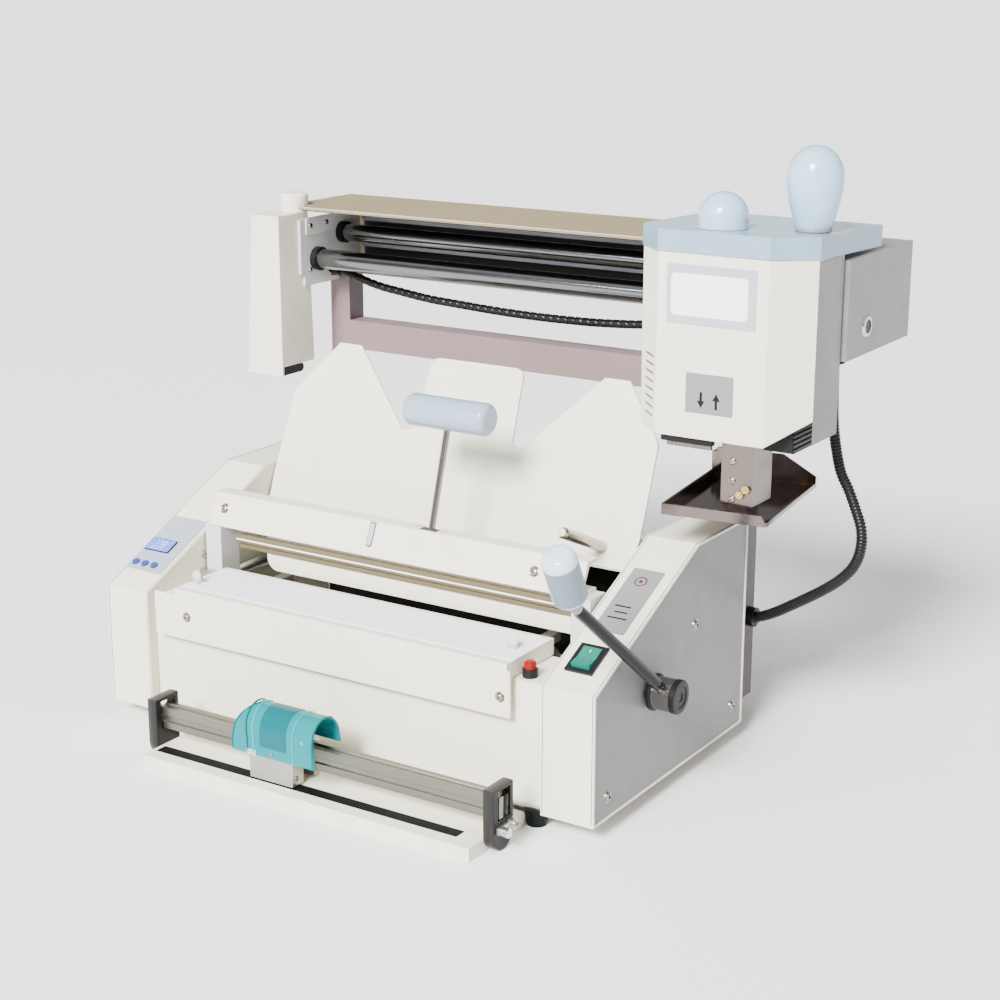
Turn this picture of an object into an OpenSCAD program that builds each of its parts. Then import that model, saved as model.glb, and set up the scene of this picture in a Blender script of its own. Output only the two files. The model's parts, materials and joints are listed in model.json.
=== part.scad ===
// Desktop glue binding machine: a heated glue head slides on two rods over a book clamp,
// a lever at the right lifts the cover table, and a rail cutter stands in front.
// X runs left to right, Y front to back, Z up. The origin is under the middle of the object.

/* [Base] */
// Distance from the middle of the machine to the outer face of each side housing
half_width = 256; // [250:1:262]
// Width of each side housing
housing_w = 49; // [46:1:52]
// Depth of the side housings
base_depth = 264; // [260:1:275]
// Height of the rubber feet
foot_h = 15; // [12:1:18]
// Height of the housings at the front
front_h = 126; // [120:1:130]
// Height of the housings at the back
rear_h = 206; // [200:1:212]
// Depth of the sloped part of the housings
slope_run = 170; // [160:1:180]
// Thickness of the sheet metal
sheet = 2; // [1.5:0.1:2.5]

/* [Cover table] */
// Width of the cover table
table_w = 350; // [330:1:352]
// Height of the cover table's top at rest
table_top = 137; // [135:1:139]
// Depth of the cover table
table_d = 72; // [68:1:72]

/* [Clamp] */
// Lean of the support plate and the front jaw, in degrees from upright
lean = 24; // [20:1:26]
// Length of the support plate along its slope
plate_len = 163.5; // [150:0.5:165]
// Length of the T grip
tee_len = 85; // [80:1:110]

/* [Gantry] */
// Distance from the middle to the outer side of each gantry post
post_x = 232; // [228:1:236]
// Side of the square post tube
post_w = 23; // [20:1:25]
// Height of the top of the gantry beam
beam_top = 444; // [442:1:446]
// Diameter of the front slide rod
front_rod_d = 19; // [16:1:20]
// Diameter of the rear slide rod
rear_rod_d = 17; // [14:1:18]

/* [Glue head] */
// Width of the glue head
head_w = 154; // [140:1:156]
// Front face of the glue head
head_front = 142; // [140:1:146]
// Height of the underside of the glue head
head_z = 303; // [302:1:306]
// Height of the head without its lid
head_h = 149; // [145:1:149]
// Thickness of the head lid
lid_t = 17.5; // [15:0.5:20]
// Fall of the lid towards the back, in degrees
lid_fall = 2; // [0:0.1:2.2]

/* [Rail cutter] */
// Height of the cutter table
cutter_h = 11.6; // [10:0.1:12]
// Height of the aluminium rail
rail_h = 19; // [16:1:20]
// Diameter of the cutting wheel
wheel_d = 28; // [26:1:28]

/* [Quality] */
// Facets of a full circle
round_facets = 64; // [32:8:96]

/* [Hidden] */

$fn = round_facets;

cream = "#e9e7dc";
side_cream = "#e2e0d6";
post_colour = "#b9abab";
khaki = "#a59b84";
pale_blue = "#b9c9d4";
steel = "#9a9a9c";
chrome = "#c9ccd0";
dark = "#26282c";
teal = "#29b9c4";

// Middle of the object's box on the floor, in machine coordinates
centre_x = 45.2;
centre_y = 130.8;

running = 0.05;            // radial clearance of a sliding or turning fit
gap = 0.3;                 // gap between neighbouring covers

// Side housings
inner_x = half_width - housing_w;
slope_a = atan((rear_h - front_h) / slope_run);
cover_screws = [[169, 135], [244, 37], [23.5, 34]];   // Y and Z of the side cover screws
boss_r = 5;
screw_r = 1.6;
inlet_z = 90;               // height of the power inlet on the right housing's back

// Crank and its cams
shaft_y = 91.5;
shaft_z = 101.6;
shaft_r = 7;
shaft_end = half_width + 16;
hub_r = 14;
hub_len = 24;
cam_r = 18;
cam_e = 16;                // how far the cam's centre is from the shaft's
cam_rest = -22.5;          // angle of the cam below the horizontal at rest
cam_x = 145;
cam_w = 10;
crank_x = half_width + 16;
crank_r = 4.5;
elbow = [crank_x, -62, 222];
elbow_r = 5.5;
grip_lean = 27;
grip_len = 47;
grip_r = 13.5;

// Cover table
shelf_z = 122;
lift_bar_z = shaft_z + cam_e * sin(cam_rest) + cam_r + 0.8;
table_pin = [120, 40];
table_pin_r = 4;

// Clamp
plate_y = 169;
plate_z = 170.5;
plate_shift = -6;
jaw_front = 77.5;
jaw_z = 173;
jaw_face = 31;             // height of the jaw's face along its slope
apron_z = 137;             // lower edge of the apron under the jaw
jaw_depth = 104;           // back edge of the jaw's bottom flange
jaw_left = -200;
jaw_right = 196;
pin_at = [160, 17];        // place of the guide pin on the support plate
guide_x = 196;
guide_z = 120;
guide_r = 6;
lever_pivot = [35, 98, 197];
lever_lean = 16.5;
lever_len = 104;
lever_r = 3;
lever_hub_r = 5;
lever_pin_r = 2.5;
tee_r = 14.5;

// Half outline of the support plate, across and up the slope
plate_half = [[0, plate_len - 2], [42, plate_len - 2], [47, plate_len - 3.5], [50, plate_len - 8],
    [54, 94], [58, 91], [66, 91], [133, plate_len], [158, plate_len], [198, 112], [200, 30], [198, 0]];

// Controls
button_x = [-247.5, -236.5, -225.5];
button_y = 30.6;
push_at = [184, 21];
switch_at = [229.8, 32.5];
display_at = [-237, 53.5];

// Gantry
post_y = 310;
beam_front = 248;
beam_back = 356;
beam_left = -240;
beam_right = 320;
front_rod = [275, 391];    // Y and Z of the front slide rod
rear_rod = [316, 412];     // Y and Z of the rear slide rod
plate_left = -224;         // outer face of the left end plate
column_left = -257;
column_foot = -267.6;      // outer edge of the column at its foot
knob_clear = 275;          // the beam's top plate is full width only behind the knob
knob_at = [-235.5, 260.5];
knob_r = 13.5;
knob_pin_r = 3;
cover_right = 356;
cable_hole = [326, 270];   // X and Y of the conduit's way into the right cover

// Drip tray
tray_at = [235.3, 140.3, 236];
tray_turn = 7;
tray_w = 90;
tray_d = 136;

// Glue head
head_left = 198;
head_right = head_left + head_w;
head_back = 219;
chamfer = 28.7;
lid_z = head_z + head_h;
lid_back = 292;
nozzle_at = [288, 182];
handle_at = [331, 204];
handle_z = 468.6;          // height of the egg handle's base
valve_arm_z = 425;
guard_left = 312;          // the head's open, guarded underside starts here
guard_rise = 19.5;
filler_at = [265.5, 176];
dome_r = 20.4;
dome_rim = 9;               // height of the filler cap's straight rim
egg_top_r = 22.7;
egg_foot_r = 13.6;
egg_h = 66.4;
egg_waist = 42;             // height of the egg's widest place
filler_r = 17.5;
pot = [240, 152, 330];
pot_size = [72, 55, 90];
pot_wall = 8;
pot_floor = 12;

// Rail cutter
cutter_left = -150;
cutter_right = 189;
rail_y = -48;
rail_w = 14;
rail_z = 27;
wheel_at = [-18, -54, 27];
latch_at = [-33, 20];      // Y and Z of the latch pivot
saddle = [-40, -63, 13];
saddle_size = [45, 37, 36.5];
hood = [-50, 58];          // Y and Z of the hood's arch
hood_r = 18.7;

// Route of the power conduit, from the gantry's right end to the right post
conduit_d = 10;
conduit_route = [[326, 270, 350], [325, 274, 320], [325, 279, 290], [330, 284, 256],
    [338, 286, 238], [345, 287, 221], [350, 288, 206], [351, 289, 192], [348, 291, 178],
    [341, 294, 165], [329, 298, 152], [313, 303, 139], [296, 308, 127], [278, 313, 115],
    [261, 318, 104], [248, 321, 97], [240, 321, 94]];

// Route of the head's trailing cable, from the left end plate to the carriage
trail_d = 8;
trail_route = [[-211, 300, 378], [-200, 300, 374], [-185, 300, 370], [-163, 300, 365],
    [-140, 300, 362], [-105, 300, 358], [-70, 300, 356], [-30, 300, 354], [10, 300, 353],
    [45, 300, 353], [85, 300, 354], [128, 300, 357], [160, 300, 362], [183, 300, 368],
    [200, 300, 375], [210, 300, 380], [217, 300, 382]];

// ---------- helpers ----------

// Moves a part from machine coordinates, whose zero is the middle of the base's front edge
module place() { translate([-centre_x, -centre_y, 0]) children(); }

// A box given by its lowest and its highest corner
module span(low, high) { translate(low) cube(high - low); }

// A shape drawn in Y and Z, extruded along X from x0 to x1
module along_x(x0, x1) { translate([x0, 0, 0]) rotate([90, 0, 90]) linear_extrude(x1 - x0) children(); }

// A shape drawn in X and Z, extruded along Y from y0 to y1
module along_y(y0, y1) { translate([0, y1, 0]) rotate([90, 0, 0]) linear_extrude(y1 - y0) children(); }

// A round bar along X, from x0 to x1
module bar_x(x0, x1, y, z, r) { translate([x0, y, z]) rotate([0, 90, 0]) cylinder(h = x1 - x0, r = r); }

// A round bar along Y, from y0 to y1
module bar_y(y0, y1, x, z, r) { translate([x, y1, z]) rotate([90, 0, 0]) cylinder(h = y1 - y0, r = r); }

// A ring along Z
module ring(h, r, bore) {
    difference() {
        cylinder(h = h, r = r);
        translate([0, 0, -1]) cylinder(h = h + 2, r = bore);
    }
}

// Local frame on the housing's slope: z points out of it, y runs up it
module on_slope(x, y) {
    translate([x, y, front_h + y * tan(slope_a)]) rotate([slope_a, 0, 0]) children();
}

// Local frame on the support plate: x is the machine's, y runs up the plate, z faces the front
module on_plate() { translate([0, plate_y, plate_z]) rotate([90 - lean, 0, 0]) children(); }

// Side outline of a housing in Y and Z, inset by t
function housing_outline(t) = [
    [t, foot_h + t], [base_depth - t, foot_h + t], [base_depth - t, rear_h - t],
    [slope_run + t * tan(slope_a / 2), rear_h - t],
    [t, front_h + t * tan(slope_a) - t / cos(slope_a)]];

// Plan outline of the glue head, inset by t, reaching back to y_back
function head_outline(t, y_back) = [
    [head_left + t, y_back - t], [head_left + t, head_front + chamfer + t * tan(22.5)],
    [head_left + chamfer + t * tan(22.5), head_front + t],
    [head_right - chamfer - t * tan(22.5), head_front + t],
    [head_right - t, head_front + chamfer + t * tan(22.5)], [head_right - t, y_back - t]];

// Unit vector, and the direction of a route at its point i
function unit(v) = v / norm(v);
function heading(p, i) = unit(p[min(i + 1, len(p) - 1)] - p[max(i - 1, 0)]);

// A tube of eight sides swept along a route that never runs straight along Y
module cord_tube(p, d) {
    sides = 8;
    rings = len(p);
    points = [for (i = [0 : rings - 1])
        let (t = heading(p, i), u = unit(cross(t, [0, 1, 0])), v = cross(t, u))
        for (k = [0 : sides - 1]) p[i] + d / 2 * (cos(k * 360 / sides) * u + sin(k * 360 / sides) * v)];
    walls = [for (i = [0 : rings - 2]) for (k = [0 : sides - 1])
        [i * sides + k, (i + 1) * sides + k, (i + 1) * sides + (k + 1) % sides,
         i * sides + (k + 1) % sides]];
    first = [for (k = [0 : sides - 1]) k];
    last = [for (k = [sides - 1 : -1 : 0]) (rings - 1) * sides + k];
    polyhedron(points, concat([first, last], walls), convexity = 4);
}

// ---------- base ----------

module base_pan() place() color(steel) {
    span([-inner_x + gap, 6, foot_h], [inner_x - gap, base_depth - sheet, foot_h + sheet]);
}

// Right housing; the left one is its mirror image with other openings
module housing_body() {
    difference() {
        along_x(inner_x, half_width) polygon(housing_outline(0));
        along_x(inner_x + sheet, half_width + 1) polygon(housing_outline(sheet));
        bar_x(inner_x - 1, inner_x + sheet + 1, shaft_y, shaft_z, shaft_r + 3);
        bar_x(inner_x - 1, inner_x + sheet + 1, 220, 60, 12);
    }
    for (p = cover_screws) difference() {
        bar_x(inner_x + sheet, half_width - 3, p[0], p[1], boss_r);
        bar_x(half_width - 20, half_width, p[0], p[1], screw_r);
    }
}

module right_housing() place() color(cream) difference() {
    housing_body();
    on_slope(switch_at[0], switch_at[1]) translate([-9.5, -13, -5]) cube([19, 26, 10]);
    span([214, base_depth - 5, inlet_z - 10], [242, base_depth + 1, inlet_z + 10]);
}

module left_housing() place() color(cream) difference() {
    mirror([1, 0, 0]) housing_body();
    on_slope(display_at[0], display_at[1]) translate([-15, -9, -5]) cube([30, 18, 10]);
    for (x = button_x) on_slope(x, button_y) translate([0, 0, -5]) cylinder(h = 10, r = 4);
}

module side_covers() place() color(side_cream) {
    for (side = [1, -1]) mirror([side > 0 ? 0 : 1, 0, 0]) difference() {
        along_x(half_width - 3, half_width - 1) polygon(housing_outline(sheet + gap));
        for (p = cover_screws) bar_x(half_width - 4, half_width, p[0], p[1], screw_r + 0.5);
        if (side > 0) bar_x(half_width - 4, half_width, shaft_y, shaft_z, shaft_r + 3);
    }
}

module front_panel() place() color(cream) {
    difference() {
        union() {
            span([-inner_x + gap, 10, foot_h + sheet], [inner_x - gap, 10 + sheet, shelf_z]);
            span([-inner_x + gap, 10 + sheet, shelf_z - sheet], [inner_x - gap, 70, shelf_z]);
        }
        for (x = [-1, 1]) translate([x * table_pin[0], table_pin[1], shelf_z - 5])
            cylinder(h = 10, r = table_pin_r + 3);
    }
}

module rear_panel() place() color(cream) {
    deck_z = plate_z - sheet;
    difference() {
        span([-inner_x + gap, base_depth - sheet, foot_h + sheet],
             [inner_x - gap, base_depth, deck_z]);
        for (x = [-150 : 20 : 150]) span([x, base_depth - 5, 60], [x + 4, base_depth + 1, 110]);
    }
    span([-inner_x + gap, plate_y + 10, deck_z - sheet],
         [inner_x - gap, base_depth - sheet, deck_z]);
}

module rubber_feet() place() color(dark) {
    for (x = [-196, 196]) for (y = [13, 242]) translate([x, y, 0]) {
        cylinder(h = foot_h, r1 = 8.5, r2 = 11);
    }
    span([-260, 223 + gap, 282.5], [plate_left - gap, 250, 291]);
    bar_x(-260, plate_left - gap, 250, 286.7, 4.1);
}

module control_board() place() color("#2f6b46") {
    span([-233, 60, 40], [-231.4, 180, 110]);
    span([-245, 80, 60], [-233, 110, 90]);
    span([-241, 130, 55], [-233, 160, 75]);
    for (y = [68, 172]) for (z = [48, 102]) bar_x(-231.4, -209, y, z, 3);
}

module power_inlet() place() color(dark) difference() {
    union() {
        span([214 + gap, 244, inlet_z - 10 + gap], [242 - gap, base_depth, inlet_z + 10 - gap]);
        span([210, base_depth, inlet_z - 12], [246, base_depth + 2, inlet_z + 12]);
    }
    span([216.5, 248, inlet_z - 7.5], [239.5, base_depth + 3, inlet_z + 7.5]);
}

// ---------- gantry ----------

module gantry_frame() place() color(post_colour) {
    difference() {
        union() {
            for (side = [0, 1]) mirror([side, 0, 0])
                span([post_x - post_w, post_y, foot_h], [post_x, post_y + post_w, beam_top - 71]);
            span([-post_x + post_w, post_y, 297], [post_x - post_w, post_y + post_w, 325.5]);
        }
        for (side = [0, 1]) mirror([side, 0, 0])
            span([post_x - post_w + 2, post_y + 2, foot_h + 2],
                 [post_x - 2, post_y + post_w - 2, beam_top - 73]);
        span([-post_x + post_w - 2, post_y + 2, 299], [post_x - post_w + 2, post_y + post_w - 2, 323.5]);
    }
    for (side = [0, 1]) mirror([side, 0, 0]) for (z = [40, 128])
        span([post_x - post_w + 2, base_depth, z], [post_x - 2, post_y, z + 20]);
}

module gantry_beam() place() color(khaki) {
    span([beam_left, knob_clear, beam_top - 3], [beam_right, beam_back, beam_top]);
    span([plate_left + 3, beam_front, beam_top - 3], [beam_right, knob_clear, beam_top]);
    span([beam_left, beam_back - 3, beam_top - 68], [beam_right, beam_back, beam_top - 3]);
    span([beam_left, 312, beam_top - 71], [beam_right, beam_back, beam_top - 68]);
    for (z = [beam_top - 24, beam_top - 50])
        span([plate_left + 3, beam_back - 8, z], [beam_right - 3, beam_back - 3, z + 11]);
}

module end_plates() place() color(cream) difference() {
    union() {
        span([plate_left, 250, 378], [plate_left + 3, 346, beam_top - 14]);
        span([plate_left, 256, 366], [plate_left + 3, 310, 378]);
        span([beam_right - 3, 250, 378], [beam_right, 346, beam_top - 14]);
    }
    for (x = [plate_left, beam_right - 3]) {
        bar_x(x - 1, x + 4, front_rod[0], front_rod[1], front_rod_d / 2 + running);
        bar_x(x - 1, x + 4, rear_rod[0], rear_rod[1], rear_rod_d / 2 + running);
    }
}

// The column's shape: its side outline in Y and Z, cut to its front outline, both inset by t
module column_body(t) {
    intersection() {
        along_x(column_foot + t, plate_left - t) children();
        along_y(220, 272) polygon([[column_foot + t, 282], [plate_left - t, 282],
            [plate_left - t, 437], [column_left + t, 437]]);
    }
}

module left_column() place() color(cream) difference() {
    column_body(0) polygon([[221, 282], [223, 282], [223, 291], [270.5, 291], [266, 437], [221, 437]]);
    column_body(2) polygon([[223, 293], [268.4, 293], [264, 435], [223, 435]]);
    translate([knob_at[0], knob_at[1], 430]) cylinder(h = 10, r = knob_pin_r + running);
}

module right_end_cover() place() color(cream) {
    difference() {
        span([beam_right, 223, 362], [cover_right, beam_back, beam_top]);
        span([beam_right - 1, 225, 364], [cover_right - 2, beam_back - 2, beam_top - 2]);
        translate([cable_hole[0], cable_hole[1], 360]) cylinder(h = 6, r = 5.6);
        bar_x(cover_right - 5, cover_right + 1, 262, 385, 6);
    }
    bar_x(cover_right - 8, cover_right + 2, 262, 385, 6 - gap);
}

module slide_rods() place() color(chrome) {
    bar_x(plate_left + gap, beam_right + 4, front_rod[0], front_rod[1], front_rod_d / 2);
    bar_x(plate_left + gap, beam_right + 4, rear_rod[0], rear_rod[1], rear_rod_d / 2);
}

// Rod collars, shaft bushes and the cover table's guide bushes
module fixed_bushes() place() color(dark) {
    for (x = [plate_left + 3, beam_right - 9]) {
        translate([x, front_rod[0], front_rod[1]]) rotate([0, 90, 0])
            ring(6, front_rod_d / 2 + 2, front_rod_d / 2 + running);
        translate([x, rear_rod[0], rear_rod[1]]) rotate([0, 90, 0])
            ring(6, rear_rod_d / 2 + 2, rear_rod_d / 2 + running);
    }
    for (x = [-inner_x - 5, inner_x - 3, half_width - 7]) translate([x, shaft_y, shaft_z])
        rotate([0, 90, 0]) ring(8, shaft_r + 2.95, shaft_r + running);
    for (x = [-1, 1]) translate([x * table_pin[0], table_pin[1], shelf_z - 12])
        ring(12, table_pin_r + 2.95, table_pin_r + running);
}

module column_knob() place() color(cream) translate([knob_at[0], knob_at[1], 437 + gap]) {
    cylinder(h = 16, r = knob_r);
    translate([0, 0, 16]) cylinder(h = 2, r1 = knob_r, r2 = knob_r - 2);
    translate([0, 0, -8]) cylinder(h = 8, r = knob_pin_r);
}

// Local frame of the drip tray: x along its front lip, y along its side
module on_tray() { translate(tray_at) rotate([0, 0, tray_turn]) children(); }

module drip_tray() place() color("#a89a96") {
    tray();
    difference() {
        span([214, 270, 240], [230, post_y, 258]);
        on_tray() translate([-12, -5, -5]) cube([tray_w + 20, tray_d + 4, 60]);
    }
}

module tray() on_tray() {
    span([0, 0, 0], [tray_w, tray_d, 2]);
    along_y(0, 2) polygon([[0, 0], [tray_w, 0], [tray_w - 5, 9], [0, 9]]);
    span([0, 1, 1], [2, tray_d, 9.5]);
    span([tray_w - 2, 1, 1], [tray_w, tray_d, 3.5]);
    along_y(tray_d - 2, tray_d) polygon([[0, 0], [tray_w, 0], [tray_w, 9], [tray_w - 30, 26], [0, 26]]);
}

module cable_glands() place() color(dark) {
    translate([cable_hole[0], cable_hole[1], 350]) ring(12, 9, 5.2);
    bar_gland(post_x, 8, 321, 94, 9, 5.2);
    bar_gland(plate_left + 3, 10, 300, 378, 7, 4.2);
}

// A cable gland along X
module bar_gland(x, len, y, z, r, bore) {
    translate([x, y, z]) rotate([0, 90, 0]) ring(len, r, bore);
}

module power_conduit() place() color(dark) cord_tube(conduit_route, conduit_d);

module trailing_cable() place() color(dark) cord_tube(trail_route, trail_d);

// ---------- glue head ----------

module head_carriage() place() color(steel) {
    difference() {
        span([225, 258, 379], [305, 330, 429]);
        bar_x(224, 306, front_rod[0], front_rod[1], front_rod_d / 2 + 4);
        bar_x(224, 306, rear_rod[0], rear_rod[1], rear_rod_d / 2 + 4);
    }
    for (x = [230, 290]) span([x, head_back, 384], [x + 10, 258, 424]);
    bar_gland(218, 7, 300, 386, 7, 4.2);
}

module carriage_bushes() place() color("#b08d4a") {
    for (x = [225, 285]) {
        translate([x, front_rod[0], front_rod[1]]) rotate([0, 90, 0])
            ring(20, front_rod_d / 2 + 4, front_rod_d / 2 + running);
        translate([x, rear_rod[0], rear_rod[1]]) rotate([0, 90, 0])
            ring(20, rear_rod_d / 2 + 4, rear_rod_d / 2 + running);
    }
}

// Local frame of the lid, which falls towards the back from its front bottom edge
module on_lid() {
    translate([0, head_front, lid_z]) rotate([-lid_fall, 0, 0]) translate([0, -head_front, 0]) children();
}

module head_shell() place() color(cream) difference() {
    translate([0, 0, head_z]) linear_extrude(head_h) polygon(head_outline(0, head_back));
    translate([0, 0, head_z + 2]) linear_extrude(head_h) polygon(head_outline(2, head_back));
    translate([nozzle_at[0], nozzle_at[1], head_z - 1]) cylinder(h = 4, r = 13);
    on_lid() span([head_left - 5, head_front - 5, 0], [head_right + 5, lid_back, 50]);
    along_x(guard_left, head_right + 1) polygon([[head_front - 1, head_z - 1], [head_front, head_z],
        [head_front + chamfer, head_z + guard_rise], [head_back + 1, head_z + guard_rise],
        [head_back + 1, head_z - 1]]);
    for (row = [0 : 7]) translate([head_left + chamfer / 2, head_front + chamfer / 2, 314 + row * 7])
        rotate([0, 0, -45]) translate([-13, -5, 0]) cube([26, 10, 2.5]);
}

module head_lid() place() color(pale_blue) difference() {
    on_lid() linear_extrude(lid_t) polygon(head_outline(-1, lid_back));
    on_lid() translate([filler_at[0], filler_at[1], -1]) cylinder(h = lid_t + 2, r = filler_r + 0.3);
    translate([handle_at[0], handle_at[1], lid_z - 20]) cylinder(h = lid_t + 40, r = 5 + running);
}

// Ribbed black guard under the right side of the head
module heat_guard() place() color(dark) difference() {
    union() {
        span([guard_left + 1, 164, 296], [340, 216, head_z + guard_rise]);
        span([guard_left + 1, 176, head_z + guard_rise], [head_right - 2, 216, 330]);
    }
    for (z = [299 : 4 : 315]) span([338.5, 160, z], [341, 220, z + 1.5]);
}

module glue_pot() place() color("#c4c6c8") {
    difference() {
        translate(pot) cube(pot_size);
        translate(pot + [pot_wall, pot_wall, pot_floor])
            cube(pot_size - [2 * pot_wall, 2 * pot_wall, 0]);
        translate([nozzle_at[0], nozzle_at[1], pot[2] - 1]) cylinder(h = pot_floor + 2, r = 4);
        for (x = [252, 304]) bar_y(pot[1] - 1, pot[1] + 50, x, pot[2] + 6, 4 + running);
    }
    for (x = [6, 66]) for (y = [6, 49]) translate([pot[0] + x, pot[1] + y, head_z + 2])
        cylinder(h = pot[2] - head_z - 2, r = 4);
}

module pot_heaters() place() color("#8a6d5a") {
    for (x = [252, 304]) bar_y(pot[1] - 4, pot[1] + 49, x, pot[2] + 6, 4);
}

module nozzle() place() color("#c9a24b") translate([nozzle_at[0], nozzle_at[1], 0]) difference() {
    union() {
        translate([0, 0, 275]) cylinder(h = pot[2] - 275, r = 8);
        translate([0, 0, 262]) cylinder(h = 13, r = 11, $fn = 6);
        translate([0, 0, 254]) cylinder(h = 8, r = 5.5);
    }
    translate([0, 0, 250]) cylinder(h = 90, r = 4);
}

// Plate that shields the nozzle, and the blade under the head's front edge
module nozzle_guard() place() color(chrome) {
    difference() {
        span([279, 160, 247.5], [307, 162, head_z]);
        for (z = [252, 267.5, 284]) bar_y(159, 163, 289, z, 2);
    }
    span([305, 162, 247.5], [307, 196, head_z]);
    span([236, 146, 294], [276, 149, head_z]);
}

module filler_cap() place() color(pale_blue) on_lid() translate([filler_at[0], filler_at[1], lid_t]) {
    translate([0, 0, gap]) cylinder(h = dome_rim - gap, r = dome_r);
    translate([0, 0, dome_rim]) intersection() {
        sphere(r = dome_r);
        cylinder(h = 30, r = 30);
    }
    translate([0, 0, -8]) cylinder(h = 9, r = filler_r);
}

// Outline of the egg: straight-sided foot, then a swelling body closed by an ellipse
module egg_handle() place() color(pale_blue) translate([handle_at[0], handle_at[1], handle_z])
    rotate_extrude() polygon(concat([[0, 0]],
        [for (t = [0 : 0.1 : 1])
            [egg_foot_r + (egg_top_r - egg_foot_r) * sin(90 * t), t * egg_waist]],
        [for (a = [10 : 10 : 90]) [egg_top_r * cos(a), egg_waist + (egg_h - egg_waist) * sin(a)]]));

module valve_rod() place() color(chrome) {
    translate([handle_at[0], handle_at[1], valve_arm_z]) cylinder(h = handle_z - valve_arm_z, r = 5);
    hull() {
        translate([handle_at[0], handle_at[1], valve_arm_z]) cylinder(h = 6, r = 8, $fn = 32);
        translate([nozzle_at[0], nozzle_at[1], valve_arm_z]) cylinder(h = 6, r = 6, $fn = 32);
    }
    translate([nozzle_at[0], nozzle_at[1], 266]) cylinder(h = valve_arm_z - 266, r = 3);
}

// ---------- crank and cover table ----------

module cam_shaft() place() color(chrome) {
    bar_x(-inner_x - 5, shaft_end, shaft_y, shaft_z, shaft_r);
    for (x = [-cam_x - cam_w / 2, cam_x - cam_w / 2])
        bar_x(x, x + cam_w, shaft_y + cam_e * cos(cam_rest), shaft_z + cam_e * sin(cam_rest), cam_r);
}

module crank_arm() place() color(chrome) {
    arm = elbow - [crank_x, shaft_y, shaft_z];
    difference() {
        bar_x(half_width + 2, half_width + 2 + hub_len, shaft_y, shaft_z, hub_r);
        bar_x(half_width, shaft_end + 0.5, shaft_y, shaft_z, shaft_r + running);
    }
    translate([crank_x, shaft_y, shaft_z]) rotate([atan2(-arm[1], arm[2]), 0, 0])
        translate([0, 0, hub_r - 1]) cylinder(h = norm(arm) - hub_r + 1, r = crank_r);
    translate(elbow) sphere(r = elbow_r);
    translate(elbow) rotate([grip_lean, 0, 0]) cylinder(h = grip_len - 8, r = crank_r - 0.5);
}

module crank_grip() place() color(pale_blue) translate(elbow) rotate([grip_lean, 0, 0])
    translate([0, 0, elbow_r + gap]) difference() {
        union() {
            cylinder(h = 4, r1 = grip_r - 3, r2 = grip_r);
            translate([0, 0, 4]) cylinder(h = grip_len - 12, r = grip_r);
            translate([0, 0, grip_len - 8]) cylinder(h = 8, r1 = grip_r, r2 = grip_r - 5);
        }
        translate([0, 0, -1]) cylinder(h = grip_len - 12, r = crank_r - 0.5 + running);
    }

module cover_table() place() color(cream) {
    half = table_w / 2;
    span([-198, 0, 91], [half + 3, sheet, 131]);
    span([-half, 0, 131], [half, sheet, table_top]);
    span([-half, sheet, table_top - sheet], [half, table_d, table_top]);
    for (x = [-half, half - sheet]) span([x, sheet, shelf_z + 1], [x + sheet, table_d, table_top - sheet]);
    span([-half + sheet, table_d - sheet, shelf_z + 1], [half - sheet, table_d, table_top - sheet]);
}

// Bars that ride on the cams, and the pins that guide the table
module lift_frame() place() color(steel) {
    for (x = [-cam_x, cam_x]) {
        span([x - 5, table_d, lift_bar_z], [x + 5, table_d + 4, table_top - 4]);
        span([x - 5, table_d + 4, lift_bar_z], [x + 5, 125, lift_bar_z + 8]);
    }
    for (x = [-1, 1]) translate([x * table_pin[0], table_pin[1], 62])
        cylinder(h = table_top - sheet - 62, r = table_pin_r);
}

// ---------- clamp ----------

module support_plate() place() color(cream) {
    last = len(plate_half) - 1;
    left = [for (i = [last : -1 : 1]) [-plate_half[i][0], plate_half[i][1]]];
    translate([plate_shift, 0, 0]) on_plate() translate([0, 0, -sheet]) linear_extrude(sheet)
        polygon(concat(plate_half, left));
    span([plate_shift - 190, plate_y + 1, plate_z - sheet],
         [plate_shift + 190, plate_y + 24, plate_z + 0.1]);
}

module guide_pin() place() color(chrome) on_plate() {
    translate([pin_at[0], pin_at[1], 0]) cylinder(h = 71, r = 5);
    translate([pin_at[0], pin_at[1], 71]) cylinder(h = 3, r1 = 5, r2 = 3.5);
    translate([pin_at[0], pin_at[1], -sheet - 5]) cylinder(h = 5, r = 8, $fn = 6);
}

module jaw_guides() place() color(chrome) {
    for (side = [0, 1]) mirror([side, 0, 0]) {
        bar_y(77, 196, guide_x, guide_z, guide_r);
        span([guide_x - 7, 71, guide_z - 10], [inner_x, 77, guide_z + 10]);
        span([guide_x - 7, 196, guide_z - 10], [inner_x, 202, guide_z + 10]);
    }
}

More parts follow.
